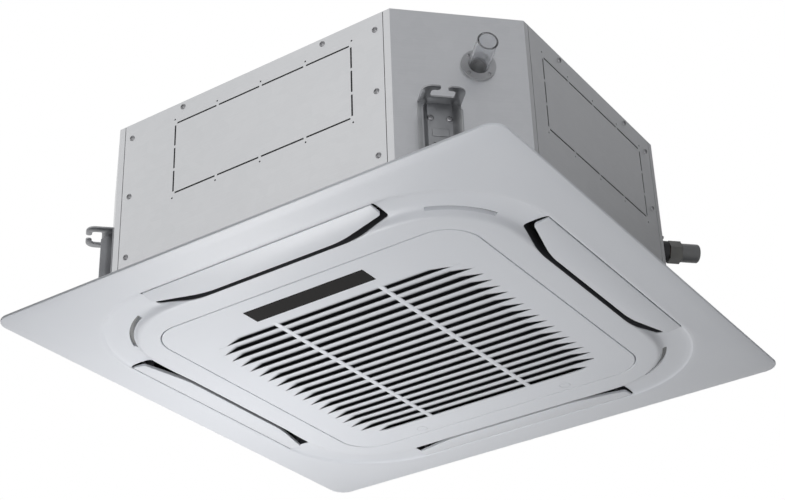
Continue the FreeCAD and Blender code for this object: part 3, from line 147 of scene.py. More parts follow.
class Finish(Nodes):
    """One procedural material on Object coordinates."""

    def __init__(self, name, **constants):
        self.material = bpy.data.materials.new(name)
        self.material.use_nodes = True
        super().__init__(self.material.node_tree)
        self.shader = self.tree.nodes["Principled BSDF"]
        self.place = self.node("ShaderNodeTexCoord", output="Object")
        self.set(**constants)

    def set(self, **sockets):
        """Feeds the shader's sockets, each named with underscores in place of spaces."""
        for name, value in sockets.items():
            self.feed(self.shader.inputs[name.replace("_", " ")], value)

    def stretched(self, x, y, z):
        return self.node("ShaderNodeMapping", inputs={"Vector": self.place, "Scale": (x, y, z)})

    def axis(self, name):
        return self.node("ShaderNodeSeparateXYZ", inputs=(self.place,), output=name)

    def noise(self, scale, detail=3, place=None):
        return self.node("ShaderNodeTexNoise", inputs={
            "Vector": place or self.place, "Scale": scale, "Detail": detail})

    def grains(self, scale):
        """Flat cells, each with its own brightness."""
        cells = self.node("ShaderNodeTexVoronoi", inputs={"Vector": self.place, "Scale": scale},
                          output="Color")
        return self.node("ShaderNodeSeparateColor", inputs=(cells,))

    def between(self, share, first, second):
        """A colour between two, by a share that varies over the surface."""
        factor, colour_a, colour_b, colour_out = 0, 6, 7, 2
        return self.node("ShaderNodeMix", {"data_type": "RGBA"}, {
            factor: share, colour_a: (*first, 1), colour_b: (*second, 1)}, output=colour_out)

    def limited(self, value):
        """A number held between nought and one."""
        return self.node("ShaderNodeClamp", inputs=(value,))

    def bump(self, height, strength, distance):
        self.set(Normal=self.node("ShaderNodeBump", inputs={
            "Strength": strength, "Distance": distance, "Height": height}))


def galvanised_sheet():
    """Zinc-coated sheet: soft clouds, very faint crystals and fine rolling lines."""
    finish = Finish("galvanised_sheet", Metallic=0.9)
    clouds = finish.noise(2.5)
    crystals = finish.grains(60)
    lines = finish.noise(14, place=finish.stretched(1, 1, 40))
    tone = clouds * 0.6 + crystals * 0.12 + lines * 0.28
    finish.set(Base_Color=finish.between(tone, (0.54, 0.55, 0.565), (0.69, 0.695, 0.71)),
               Roughness=0.28 + clouds * 0.1 + crystals * 0.03)
    finish.bump(crystals * 0.4 + lines, strength=0.015, distance=0.0004)
    return finish


def moulded(name, dark, light, roughness, grain=2200, strength=0.05, **constants):
    """Moulded plastic with a fine grain and slight clouds in its colour."""
    finish = Finish(name, **constants)
    clouds = finish.noise(9)
    fine = finish.noise(grain, 2)
    finish.set(Base_Color=finish.between(clouds, dark, light), Roughness=roughness + (fine - 0.5) * 0.08)
    finish.bump(fine, strength=strength, distance=0.0002)
    return finish


def plain_metal(name, dark, light, roughness):
    """Drawn or plated metal with light scratches."""
    finish = Finish(name, Metallic=1.0)
    clouds = finish.noise(40)
    scratches = finish.noise(60, place=finish.stretched(1, 1, 20))
    finish.set(Base_Color=finish.between(clouds, dark, light), Roughness=roughness + scratches * 0.15)
    finish.bump(scratches, strength=0.03, distance=0.0003)
    return finish


def fin_block():
    """Thin upright fins packed side by side round the coil, drawn as stripes whose dark bands are painted
    shade between the fins.
    """
    finish = Finish("fin_block", Metallic=0.9)
    pitch = 0.0025
    fins = ((finish.axis("X") + finish.axis("Y")) * (2 * math.pi / pitch)).sine()
    # Painted shade: the dark half of each stripe stands for the shade in the gap between two fins.
    shade = fins * 0.5 + 0.5
    finish.set(Base_Color=finish.between(shade, (0.2, 0.21, 0.22), (0.72, 0.73, 0.75)),
               Roughness=0.35 + finish.noise(30) * 0.2)
    finish.bump(shade, strength=0.5, distance=0.0008)
    return finish


def filter_net():
    """A dark net of fine threads both ways."""
    finish = Finish("filter_net")
    pitch = 0.003
    across, along = ((finish.axis(name) * (2 * math.pi / pitch)).sine() for name in "XY")
    threads = across.largest(along)
    shade = threads * 0.5 + 0.5
    finish.set(Base_Color=finish.between(shade, (0.006, 0.006, 0.008), (0.035, 0.036, 0.042)),
               Roughness=0.75 - shade * 0.2)
    finish.bump(shade, strength=0.6, distance=0.0006)
    return finish


def clear_pipe():
    finish = Finish("clear_pipe", Transmission_Weight=0.93, IOR=1.22)
    haze = finish.noise(90)
    finish.set(Base_Color=finish.between(haze, (0.80, 0.81, 0.83), (0.9, 0.905, 0.92)),
               Roughness=0.05 + haze * 0.06)
    return finish


FINISHES = {
    "galvanised_steel": galvanised_sheet(),
    "steel_screws": plain_metal("steel_screws", (0.2, 0.2, 0.21), (0.34, 0.34, 0.35), 0.3),
    "foam": moulded("bead_foam", (0.012, 0.012, 0.013), (0.024, 0.024, 0.026), 0.85, 300, 0.3),
    "fin_aluminium": fin_block(),
    "copper": plain_metal("copper_tube", (0.5, 0.24, 0.14), (0.68, 0.36, 0.22), 0.25),
    "brass": plain_metal("plated_brass", (0.06, 0.06, 0.058), (0.11, 0.11, 0.105), 0.35),
    "rubber": moulded("sleeve_rubber", (0.008, 0.008, 0.009), (0.02, 0.02, 0.022), 0.65, 900, 0.15),
    "cap_plastic": moulded("cap_plastic", (0.15, 0.155, 0.155), (0.2, 0.2, 0.2), 0.45),
    "motor_paint": moulded("motor_paint", (0.05, 0.05, 0.055), (0.08, 0.08, 0.085), 0.4, 700, 0.1),
    "dark_plastic": moulded("dark_plastic", (0.035, 0.035, 0.04), (0.06, 0.06, 0.065), 0.5),
    "clear_plastic": clear_pipe(),
    "hose_rubber": moulded("hose_rubber", (0.012, 0.012, 0.013), (0.025, 0.025, 0.026), 0.7, 900, 0.15),
    "socket_plastic": moulded("socket_plastic", (0.38, 0.385, 0.4), (0.44, 0.445, 0.46), 0.4),
    "white_plastic": moulded("white_plastic", (0.745, 0.765, 0.81), (0.775, 0.795, 0.835), 0.36),
    "filter_net": filter_net(),
    "display_glass": moulded("display_glass", (0.009, 0.0085, 0.0085), (0.014, 0.013, 0.013), 0.5, 500, 0.01,
                             Specular_IOR_Level=0.05),
    "circuit_board": moulded("circuit_board", (0.02, 0.12, 0.05), (0.04, 0.2, 0.08), 0.45, 400, 0.1),
}

# A darker copy of the galvanised finish for the hanger brackets: its extra darkness is painted shade.
BRACKET_PAINTED_SHADE_FINISH = plain_metal("bracket_zinc_painted_shade", (0.27, 0.275, 0.285), (0.4, 0.405, 0.415), 0.3)

for entry in frame["record"]["subparts"]:
    node = frame["nodes"][entry["node"]]
    if not node.material_slots:
        node.data.materials.append(None)
    for place in node.material_slots:
        place.link = "OBJECT"
        place.material = FINISHES[entry["material_slot"]].material


def soften(mesh, angle=30):
    """Smooth shading with an edge kept wherever faces meet at more than an angle."""
    for face in mesh.faces:
        face.smooth = True
    for edge in mesh.edges:
        edge.smooth = len(edge.link_faces) == 2 and edge.calc_face_angle() < math.radians(angle)


def thing(name, mesh):
    """An object at the origin that holds a finished mesh given in millimetres."""
    bmesh.ops.scale(mesh, vec=(MM, MM, MM), verts=mesh.verts)
    data = bpy.data.meshes.new(name)
    mesh.to_mesh(data)
    mesh.free()
    obj = bpy.data.objects.new(name, data)
    bpy.context.scene.collection.objects.link(obj)
    return obj


def show(obj, body, slot, *replaced, finish=None):
    """Gives a piece its finish and its body, and hides the CAD nodes that it stands for."""
    obj.data.materials.clear()
    obj.data.materials.append((finish or FINISHES[slot]).material)
    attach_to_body(obj, body)
    if replaced:
        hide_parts(*replaced)


def combined(obj, other, operation):
    """Joins another piece to one or cuts it out of it; the other piece is used up."""
    step = obj.modifiers.new("step", "BOOLEAN")
    step.operation = operation
    step.solver = "EXACT"
    step.object = other
    graph = bpy.context.evaluated_depsgraph_get()
    data = bpy.data.meshes.new_from_object(obj.evaluated_get(graph))
    obj.modifiers.clear()
    obj.data = data
    bpy.data.objects.remove(other)
    return obj


def reshaded(obj, angle=30):
    """A piece whose points are welded and whose shading is softened."""
    mesh = bmesh.new()
    weld = 2e-6
    mesh.from_mesh(obj.data)
    bmesh.ops.remove_doubles(mesh, verts=mesh.verts, dist=weld)
    soften(mesh, angle)
    mesh.to_mesh(obj.data)
    mesh.free()
    return obj


def turn(mesh, angle):
    bmesh.ops.rotate(mesh, cent=(0, 0, 0), matrix=Matrix.Rotation(math.radians(angle), 3, "Z"),
                     verts=mesh.verts)


def ring(half, corner, height, longer=0, centre=0):
    """One level of a shell: a rounded rectangle, longer along y than across and moved along y."""
    return {"halves": (half, half + longer), "corner": corner, "height": height, "centres": (0, centre)}


def rounded_face(mesh, level):
    """The flat face of one level, with four round corners, in an empty mesh."""
    middle = Matrix.Translation((*level["centres"], level["height"]))
    made = bmesh.ops.create_grid(mesh, x_segments=1, y_segments=1, size=1,
                                 matrix=middle @ Matrix.Diagonal((*level["halves"], 1, 1)))
    bmesh.ops.bevel(mesh, geom=made["verts"], offset=level["corner"], offset_type="OFFSET", affect="VERTICES",
                    segments=CORNER_STEPS, profile=0.5, material=-1)
    return next(iter(mesh.faces))


def reshape(vert, level, following):
    """Moves a point of one rounded rectangle to the same point of the next."""
    for axis in (0, 1):
        away = vert.co[axis] - level["centres"][axis]
        flat = level["halves"][axis] - level["corner"]
        share = (abs(away) - flat) / level["corner"]
        reach = following["halves"][axis] - following["corner"] + share * following["corner"]
        vert.co[axis] = following["centres"][axis] + math.copysign(reach, away)
    vert.co.z = following["height"]


def ring_shell(levels):
    """A closed tube through rounded rectangles, from the last back to the first."""
    mesh = bmesh.new()
    weld = 0.01
    face = rounded_face(mesh, levels[0])
    edges = list(face.edges)
    bmesh.ops.delete(mesh, geom=[face], context="FACES_ONLY")
    for level, following in zip(levels, levels[1:] + levels[:1]):
        grown = bmesh.ops.extrude_edge_only(mesh, edges=edges)["geom"]
        points = {part for part in grown if isinstance(part, bmesh.types.BMVert)}
        for vert in points:
            reshape(vert, level, following)
        edges = [part for part in grown
                 if isinstance(part, bmesh.types.BMEdge) and points.issuperset(part.verts)]
    bmesh.ops.remove_doubles(mesh, verts=mesh.verts, dist=weld)
    bmesh.ops.recalc_face_normals(mesh, faces=mesh.faces)
    return mesh


def slab(outline, low, high, rounds=()):
    """An upright prism over an outline, with some of its corners rounded: pairs of index and radius."""
    mesh = bmesh.new()
    points = [mesh.verts.new((x, y, low)) for x, y in outline]
    mesh.faces.new(points)
    for index, radius in rounds:
        bmesh.ops.bevel(mesh, geom=[points[index]], offset=radius, offset_type="OFFSET", affect="VERTICES",
                        segments=ROUND_STEPS, profile=0.5, material=-1)
    grown = bmesh.ops.extrude_face_region(mesh, geom=mesh.faces[:])
    top = [part for part in grown["geom"] if isinstance(part, bmesh.types.BMVert)]
    bmesh.ops.translate(mesh, vec=(0, 0, high - low), verts=top)
    bmesh.ops.recalc_face_normals(mesh, faces=mesh.faces)
    return mesh


def box_outline(low_x, high_x, low_y, high_y):
    return ((low_x, low_y), (high_x, low_y), (high_x, high_y), (low_x, high_y))


def bevelled(mesh, width, segments=2, angle=30):
    """Rounds every edge where faces meet at more than an angle."""
    sharp = [edge for edge in mesh.edges
             if len(edge.link_faces) == 2 and edge.calc_face_angle() > math.radians(angle)]
    bmesh.ops.bevel(mesh, geom=sharp, offset=width, offset_type="OFFSET", affect="EDGES", segments=segments,
                    profile=0.5, material=-1)
    return mesh


def gather(target, source, angle=0):
    """Adds one mesh to another, turned about the vertical axis, and frees it."""
    turn(source, angle)
    scratch = bpy.data.meshes.new("scratch")
    source.to_mesh(scratch)
    source.free()
    target.from_mesh(scratch)
    bpy.data.meshes.remove(scratch)


def attach(obj, mesh):
    """Adds loose solids in millimetres to a piece."""
    bmesh.ops.scale(mesh, vec=(MM, MM, MM), verts=mesh.verts)
    mesh.from_mesh(obj.data)
    mesh.to_mesh(obj.data)
    mesh.free()


def bar(radius, length, place, segments):
    """A round bar, along Z before it is placed."""
    mesh = bmesh.new()
    bmesh.ops.create_cone(mesh, cap_ends=True, segments=segments, radius1=radius, radius2=radius,
                          depth=length, matrix=place)
    return mesh


def outlet_outline(inset=0):
    outer, inner, end_inner = CREASE_HALF - inset, OUTLET_INNER + inset, OUTLET_END_INNER + inset
    half, mid_half = OUTLET_HALF - inset, OUTLET_MID_HALF
    return ((-half, -outer), (half, -outer), (half, -end_inner), (mid_half, -inner), (-mid_half, -inner),
            (-half, -end_inner))


OUTLET_ROUNDS = ((0, 3), (1, 3), (2, 6), (3, 20), (4, 20), (5, 6))


def make_throats():
    """The dark lining of each air outlet, which reaches down to the panel's edge on the inner side. Its dark
    colour is partly the lining's own and partly painted shade deep in the outlet.
    """
    throats = bmesh.new()
    wall, gap, top_gap, level_share = 0.5, 0.1, 1, 0.9
    end_low, inner_low, top = -4.9, -15.4, COLLAR_TOP - top_gap
    for angle in SIDES.values():
        mesh = slab(outlet_outline(gap), 0, top, OUTLET_ROUNDS)
        caps = [face for face in mesh.faces if abs(face.normal.z) > level_share]
        bmesh.ops.delete(mesh, geom=caps, context="FACES_ONLY")
        for vert in mesh.verts:
            if vert.co.z < top / 2:
                share = (OUTLET_END_INNER + vert.co.y) / (OUTLET_END_INNER - OUTLET_INNER)
                vert.co.z = end_low + (inner_low - end_low) * min(max(share, 0), 1)
        bmesh.ops.solidify(mesh, geom=mesh.faces[:], thickness=wall)
        bmesh.ops.recalc_face_normals(mesh, faces=mesh.faces)
        gather(throats, mesh, angle)
    soften(throats)
    # Partly painted shade: the dark lining also stands for the shade inside the outlets.
    show(thing("outlet_throats", throats), "casing", "dark_plastic")


def slit_solid(low, high, trim=0):
    """A crescent beside the plateau's corner that leans outwards as it rises, drawn at the front."""
    mesh = bmesh.new()
    middle = (PLATEAU_HALF - PLATEAU_CORNER) * math.sqrt(2)
    inner, outer = PLATEAU_CORNER + SLIT_START + trim, PLATEAU_CORNER + SLIT_START + SLIT_WIDTH - trim
    profile = [mesh.verts.new((0, -middle - radius - SLIT_LEAN * (z - SLIT_FOOT), z)) for radius, z in (
        (inner, low), (outer, low), (outer, high), (inner, high))]
    start = mesh.faces.new(profile)
    spread = math.radians(SLIT_HALF_ANGLE)
    bmesh.ops.rotate(mesh, cent=(0, -middle, 0), matrix=Matrix.Rotation(-spread, 3, "Z"), verts=profile)
    bmesh.ops.spin(mesh, geom=[start, *start.edges, *profile], cent=(0, -middle, 0), axis=(0, 0, 1),
                   dvec=(0, 0, 0), angle=2 * spread, steps=SLIT_STEPS, use_merge=False)
    bmesh.ops.recalc_face_normals(mesh, faces=mesh.faces)
    return mesh


def make_slit_shade_strips():
    """The grey strips that close the corner slits above; their grey is painted shade deep in the slits."""
    strips = bmesh.new()
    roof_gap, side_gap = 0.1, 0.05
    for angle in CORNERS.values():
        gather(strips, slit_solid(SLIT_STRIP, SLIT_TOP - roof_gap, side_gap), angle)
    soften(strips)
    # Painted shade: the grey of these strips stands for the shade inside the corner slits.
    show(thing("corner_slit_shade_strips", strips), "casing", "cap_plastic")


def make_air_panel():
    """The white panel: thin rim, gently rising border, crest, corner channels and the raised middle."""
    # Half width, corner radius and height, from the opening over the rim and back along the visible face
    levels = [ring(*level) for level in (
        (OPENING_HALF, OPENING_CORNER, 0),
        (PANEL_HALF - 1, PANEL_CORNER - 1, 0),
        (PANEL_HALF, PANEL_CORNER, -1),
        (PANEL_HALF, PANEL_CORNER, -3.6),
        (PANEL_HALF - 0.6, PANEL_CORNER - 0.6, -4.6),
        (PANEL_HALF - 2.2, PANEL_CORNER - 1.5, -5.1),
        (452, 80, -6.3),
        (430, 140, -7.6),
        (419, 178, -8.5),
        (414.5, 194, -9),
        (411.5, 196, -9),
        (CREASE_HALF + 1, CREASE_CORNER + 1, -8.5),
        (CREASE_HALF - 0.5, CREASE_CORNER - 0.5, -7.4),
        (CREASE_HALF - 4, CREASE_CORNER - 4, -6.2),
        (CREASE_HALF - 11, CREASE_CORNER - 11, -5.4),
        (CREASE_HALF - 22, CREASE_CORNER - 22, -5.1),
        (CREASE_HALF - 34, CREASE_CORNER - 34, -5.5),
        (PLATEAU_HALF + 8, PLATEAU_CORNER + 8, -6.6),
        (PLATEAU_HALF + 3.5, PLATEAU_CORNER + 3.5, -8.8),
        (PLATEAU_HALF + 0.5, PLATEAU_CORNER + 0.5, -11.6),
        (PLATEAU_HALF - 2, PLATEAU_CORNER - 2, -14.2),
        (PLATEAU_HALF - 5, PLATEAU_CORNER - 5, -15.6),
        (PLATEAU_HALF - 9, PLATEAU_CORNER - 9, PANEL_LOW),
        (OPENING_HALF + 1, OPENING_CORNER + 1, PANEL_LOW),
        (OPENING_HALF + 0.4, OPENING_CORNER + 0.4, PANEL_LOW + 0.7),
        (OPENING_HALF + 0.4, OPENING_CORNER + 0.4, PANEL_LOW + 4),
    )]
    panel = thing("air_panel", ring_shell(levels))
    fixtures = bmesh.new()
    sunk = -1.5
    for angle in SIDES.values():
        collar = slab(box_outline(-OUTLET_HALF - COLLAR_WALL, OUTLET_HALF + COLLAR_WALL,
                                  -CREASE_HALF - COLLAR_WALL, -OUTLET_INNER + COLLAR_WALL), sunk, COLLAR_TOP)
        gather(fixtures, collar, angle)
    pocket_inner, pocket_outer, pocket_half, pocket_top = 429.5, 454.5, 56, 12
    for angle in CORNERS.values():
        pocket = slab(box_outline(-pocket_half, pocket_half, -pocket_outer, -pocket_inner), sunk, pocket_top)
        gather(fixtures, pocket, angle)
    combined(panel, thing("fixtures", fixtures), "UNION")
    tools = bmesh.new()
    cut_below, cut_above = 4, 2
    for angle in SIDES.values():
        outlet = slab(outlet_outline(), PANEL_LOW - cut_below, COLLAR_TOP + cut_above, OUTLET_ROUNDS)
        gather(tools, outlet, angle)
    for angle in CORNERS.values():
        gather(tools, slit_solid(SLIT_FOOT - cut_below, SLIT_TOP), angle)
    combined(panel, thing("tools", tools), "DIFFERENCE")
    lugs = bmesh.new()
    boss_radius, boss_ring, lug_edge = 9, 372, 0.6
    for angle in CORNERS.values():
        lug = slab(box_outline(-LUG_HALF, LUG_HALF, -LUG_OUTER, -LUG_INNER), 0, LUG_WALL)
        gather(lugs, bevelled(lug, lug_edge), angle)
        place = Matrix.Translation((0, -boss_ring, COLLAR_TOP / 2))
        gather(lugs, bar(boss_radius, COLLAR_TOP, place, segments=32), angle)
    roof_seat = 1
    for side in ("right", "back"):
        roof = slab(box_outline(-OUTLET_HALF - roof_seat, OUTLET_HALF + roof_seat, -CREASE_HALF - roof_seat,
                                -OUTLET_INNER + roof_seat), COLLAR_TOP - COLLAR_ROOF, COLLAR_TOP)
        turn(roof, SIDES[side])
        outward = Vector((1, 1, 0)).normalized()
        bmesh.ops.bisect_plane(roof, geom=roof.verts[:] + roof.edges[:] + roof.faces[:],
                               plane_co=outward * LINED_PIPE_PLANE, plane_no=outward, clear_inner=True)
        bmesh.ops.holes_fill(roof, edges=roof.edges)
        gather(lugs, roof)
    attach(panel, lugs)
    show(reshaded(panel, SHELL_EDGE), "casing", "white_plastic", "panel_frame")


def make_louvers():
    """Four blades with tapered ends, each on two dark arms with pivot pins."""
    outer, inner, half, mid_half, end_inner = 406, 357.1, 218.5, 130, 380
    pivot_out, pivot_rise = 380.5, 5
    edge_low, slope, top, top_slope = -8.5, 6.8, -5.5, 3
    blade_rounds = ((0, 2), (1, 2), (2, 5), (3, 20), (4, 20), (5, 5))
    blade_edge, blade_edge_steps = 0.8, 3
    arm_wide, arm_end, arm_head, arm_sunk, arm_edge = 7, 206, 9.5, 0.5, 1
    arm_outward, arm_inward = 8, 5
    pin_radius, pin_drive, pin_free, pin_sunk, pin_edge = 2.5, 236, 225.5, 0.4, 0.4
    along_x = Matrix.Rotation(math.pi / 2, 4, "Y")
    for side, angle in SIDES.items():
        drive = -1 if side == "right" else 1
        outline = ((-half, -outer), (half, -outer), (half, -end_inner), (mid_half, -inner),
                   (-mid_half, -inner), (-half, -end_inner))
        blade = slab(outline, edge_low, top, blade_rounds)
        for vert in blade.verts:
            fall = slope if vert.co.z < (edge_low + top) / 2 else top_slope
            vert.co.z -= fall * (vert.co.y + outer) / (outer - inner)
        bevelled(blade, blade_edge, blade_edge_steps)
        turn(blade, angle)
        soften(blade)
        show(thing(f"{side}_louver_blade", blade), f"{side}_louver", "white_plastic", f"{side}_louver")
        arms = bmesh.new()
        for sign in (-1, 1):
            near, far = sorted((sign * (arm_end - arm_wide), sign * arm_end))
            arm = slab(box_outline(near, far, -pivot_out - arm_outward, -pivot_out + arm_inward),
                       top - arm_sunk, arm_head)
            gather(arms, bevelled(arm, arm_edge))
            reach = pin_drive if sign == drive else pin_free
            middle = sign * (arm_end + reach) / 2
            place = Matrix.Translation((middle, -pivot_out, pivot_rise)) @ along_x
            pin = bar(pin_radius, reach - arm_end + pin_sunk, place, segments=24)
            gather(arms, bevelled(pin, pin_edge))
        turn(arms, angle)
        soften(arms)
        show(thing(f"{side}_louver_arms", arms), f"{side}_louver", "dark_plastic")


SLOT_COUNT, SLOT_PITCH, SLOT_EDGE = 19, 24.5, -194.75
FIELD_HALF, FIELD_CORNER = 249, 52
FIELD_LOW, FIELD_HIGH = -213.75, 246.25
GRILLE_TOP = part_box("suction_grille")[1].z / MM
GRILLE_WALL = 1.6
# A grille blade's flat lip and the curve behind it, as shares of a slot, and a slot's pointed end
BLADE_LIP_SHARE, BLADE_RUN_SHARE, BLADE_RISE, BLADE_CURVE, SLOT_POINT = 0.15, 0.62, 3.2, 2, 34


def grille_blades_painted_shade():
    """White plastic with painted shade: its colour darkens to near black with height above the lips of the
    blades.
    """
    finish = Finish("grille_blades_painted_shade")
    clouds, fine = finish.noise(9), finish.noise(2200, 2)
    lip_top, shade_top = (PANEL_LOW + 0.15) * MM, (PANEL_LOW + 2.1) * MM
    # Painted shade: the dark share grows with height above the blade lips and stands for the shade inside the
    # slots.
    depth = finish.limited((finish.axis("Z") - lip_top) * (1 / (shade_top - lip_top)) + clouds * 0.04)
    finish.set(Base_Color=finish.between(depth, (0.76, 0.78, 0.82), (0.02, 0.021, 0.025)),
               Roughness=0.34 + fine * 0.08)
    finish.bump(fine, strength=0.05, distance=0.0002)
    return finish


def blade_sheet(start_y, reach, cover, room):
    """One grille blade: a flat lip that sweeps up behind, and closes the slot to a point at its ends."""
    mesh = bmesh.new()
    low, wall, last_gap, point_curve = PANEL_LOW + 0.12, 1.3, 0.4, 0.8
    lip_steps, curve_steps, end_steps = 2, 8, 10
    columns = 2 * end_steps + 3
    rows = lip_steps + curve_steps
    bmesh.ops.create_grid(mesh, x_segments=columns, y_segments=rows, size=1)
    for vert in mesh.verts:
        column, row = round((vert.co.x + 1) / 2 * columns), round((vert.co.y + 1) / 2 * rows)
        from_end = (min(column, columns - column) - 1) / end_steps
        open_share = max(from_end, 0) ** point_curve
        side = -1 if column < columns / 2 else 1
        vert.co.x = side * (cover if from_end < 0 else reach - SLOT_POINT * from_end)
        lip = room * (BLADE_LIP_SHARE + (1 - BLADE_LIP_SHARE) * (1 - open_share)) - last_gap
        run = min(room * BLADE_RUN_SHARE * open_share, room - last_gap - lip)
        if row <= lip_steps:
            vert.co.y, vert.co.z = start_y + lip * row / lip_steps, low
        else:
            share = (row - lip_steps) / curve_steps
            vert.co.y = start_y + lip + run * share
            vert.co.z = low + BLADE_RISE * open_share * share ** BLADE_CURVE
    grown = bmesh.ops.extrude_face_region(mesh, geom=mesh.faces[:])
    upper = [part for part in grown["geom"] if isinstance(part, bmesh.types.BMVert)]
    bmesh.ops.translate(mesh, vec=(0, 0, wall), verts=upper)
    bmesh.ops.recalc_face_normals(mesh, faces=mesh.faces)
    return mesh


def field_reach(y):
    """Half the slot field's width at a row."""
    inset = FIELD_CORNER - min(y - FIELD_LOW, FIELD_HIGH - y)
    into = min(max(inset, 0), FIELD_CORNER)
    return FIELD_HALF - FIELD_CORNER + math.sqrt(FIELD_CORNER ** 2 - into ** 2)


def make_grille():
    """The hinged suction grille: a shell open at the slot field, two ribs across it and its curved blades."""
    rim_gap, rim_wall, edge_rise, edge_inset = 1.4, 6, 0.7, 0.6
    half, corner = OPENING_HALF - rim_gap, OPENING_CORNER - rim_gap
    middle, longer = (FIELD_LOW + FIELD_HIGH) / 2, (FIELD_HIGH - FIELD_LOW) / 2 - FIELD_HALF
    levels = [
        ring(half - rim_wall, corner - rim_wall, GRILLE_TOP),
        ring(half, corner, GRILLE_TOP),
        ring(half, corner, PANEL_LOW + edge_rise),
        ring(half - edge_inset, corner - edge_inset, PANEL_LOW),
        ring(FIELD_HALF, FIELD_CORNER, PANEL_LOW, longer, middle),
        ring(FIELD_HALF, FIELD_CORNER, PANEL_LOW + GRILLE_WALL, longer, middle),
        ring(half - rim_wall, corner - rim_wall, PANEL_LOW + GRILLE_WALL),
    ]
    plate = thing("suction_grille_face", ring_shell(levels))
    tools = bmesh.new()
    low, high = (corner_point / MM for corner_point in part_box("display_window"))
    gap, cut_below = 0.3, 4
    window = box_outline(low.x - gap, high.x + gap, low.y - gap, high.y + gap)
    gather(tools, slab(window, PANEL_LOW - cut_below, high.z))
    latch_radius, latch_cut = 9.6, 30
    for node in ("left_grille_latch", "right_grille_latch"):
        low, high = (corner_point / MM for corner_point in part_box(node))
        place = Matrix.Translation(((low.x + high.x) / 2, (low.y + high.y) / 2, PANEL_LOW))
        gather(tools, bar(latch_radius, latch_cut, place, segments=48))
    low, high = (corner_point / MM for corner_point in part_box("grille_hinge_pins"))
    pin_length, pin_play = 24, 0.2
    along_x = Matrix.Rotation(math.pi / 2, 4, "Y")
    for pin_middle in (low.x + pin_length / 2, high.x - pin_length / 2):
        place = Matrix.Translation((pin_middle, (low.y + high.y) / 2, (low.z + high.z) / 2)) @ along_x
        radius, length = (high.z - low.z) / 2 + pin_play, pin_length + 2 * pin_play
        gather(tools, bar(radius, length, place, segments=32))
    combined(plate, thing("tools", tools), "DIFFERENCE")
    ribs = bmesh.new()
    into_plate = 1
    rib_half, rib_low, rib_high, rib_edge = 4.5, 0.06, 1.8, 0.5
    for rib_x in (-107, 98):
        rib = slab(box_outline(rib_x - rib_half, rib_x + rib_half, FIELD_LOW - into_plate,
                               FIELD_HIGH + into_plate), PANEL_LOW + rib_low, PANEL_LOW + rib_high)
        gather(ribs, bevelled(rib, rib_edge))
    attach(plate, ribs)
    show(reshaded(plate, SHELL_EDGE), "grille", "white_plastic", "suction_grille")
    blades = bmesh.new()
    first_room = SLOT_EDGE - FIELD_LOW + into_plate
    starts = [(FIELD_LOW - into_plate, first_room)]
    starts += [(SLOT_EDGE + SLOT_PITCH * index, SLOT_PITCH) for index in range(SLOT_COUNT - 1)]
    for start_y, room in starts:
        rows = (start_y + into_plate, start_y + room / 2, start_y + room - into_plate)
        reaches = [field_reach(y) for y in rows]
        cover = max(reaches) + 2 * into_plate
        gather(blades, blade_sheet(start_y, sum(reaches) / len(reaches), cover, room))
    soften(blades, SHELL_EDGE)
    # The blades' finish paints shade onto their curved sheets.
    show(thing("suction_grille_blades", blades), "grille", "white_plastic", finish=grille_blades_painted_shade())


def screw_solids():
    """The points of each separate solid in the CAD screws, in millimetres."""
    mesh = bmesh.new()
    weld = 1e-6
    mesh.from_mesh(frame["nodes"]["casing_screws"].data)
    bmesh.ops.remove_doubles(mesh, verts=mesh.verts, dist=weld)
    left = set(mesh.verts)
    solids = []
    while left:
        group, front = [], [left.pop()]
        while front:
            vert = front.pop()
            group.append(vert.co / MM)
            for edge in vert.link_edges:
                other = edge.other_vert(vert)
                if other in left:
                    left.remove(other)
                    front.append(other)
        solids.append(sorted(group, key=tuple))
    mesh.free()
    return sorted(solids, key=lambda group: tuple(
        round(value, 2) for value in sum(group, Vector()) / len(group)))


def cross_outline(arm, half):
    """A plus sign, from the right arm round to the left."""
    quarter = ((half, -arm), (half, -half), (arm, -half))
    points = []
    for _ in range(4):
        points.extend(quarter)
        quarter = tuple((-y, x) for x, y in quarter)
    return tuple(points)


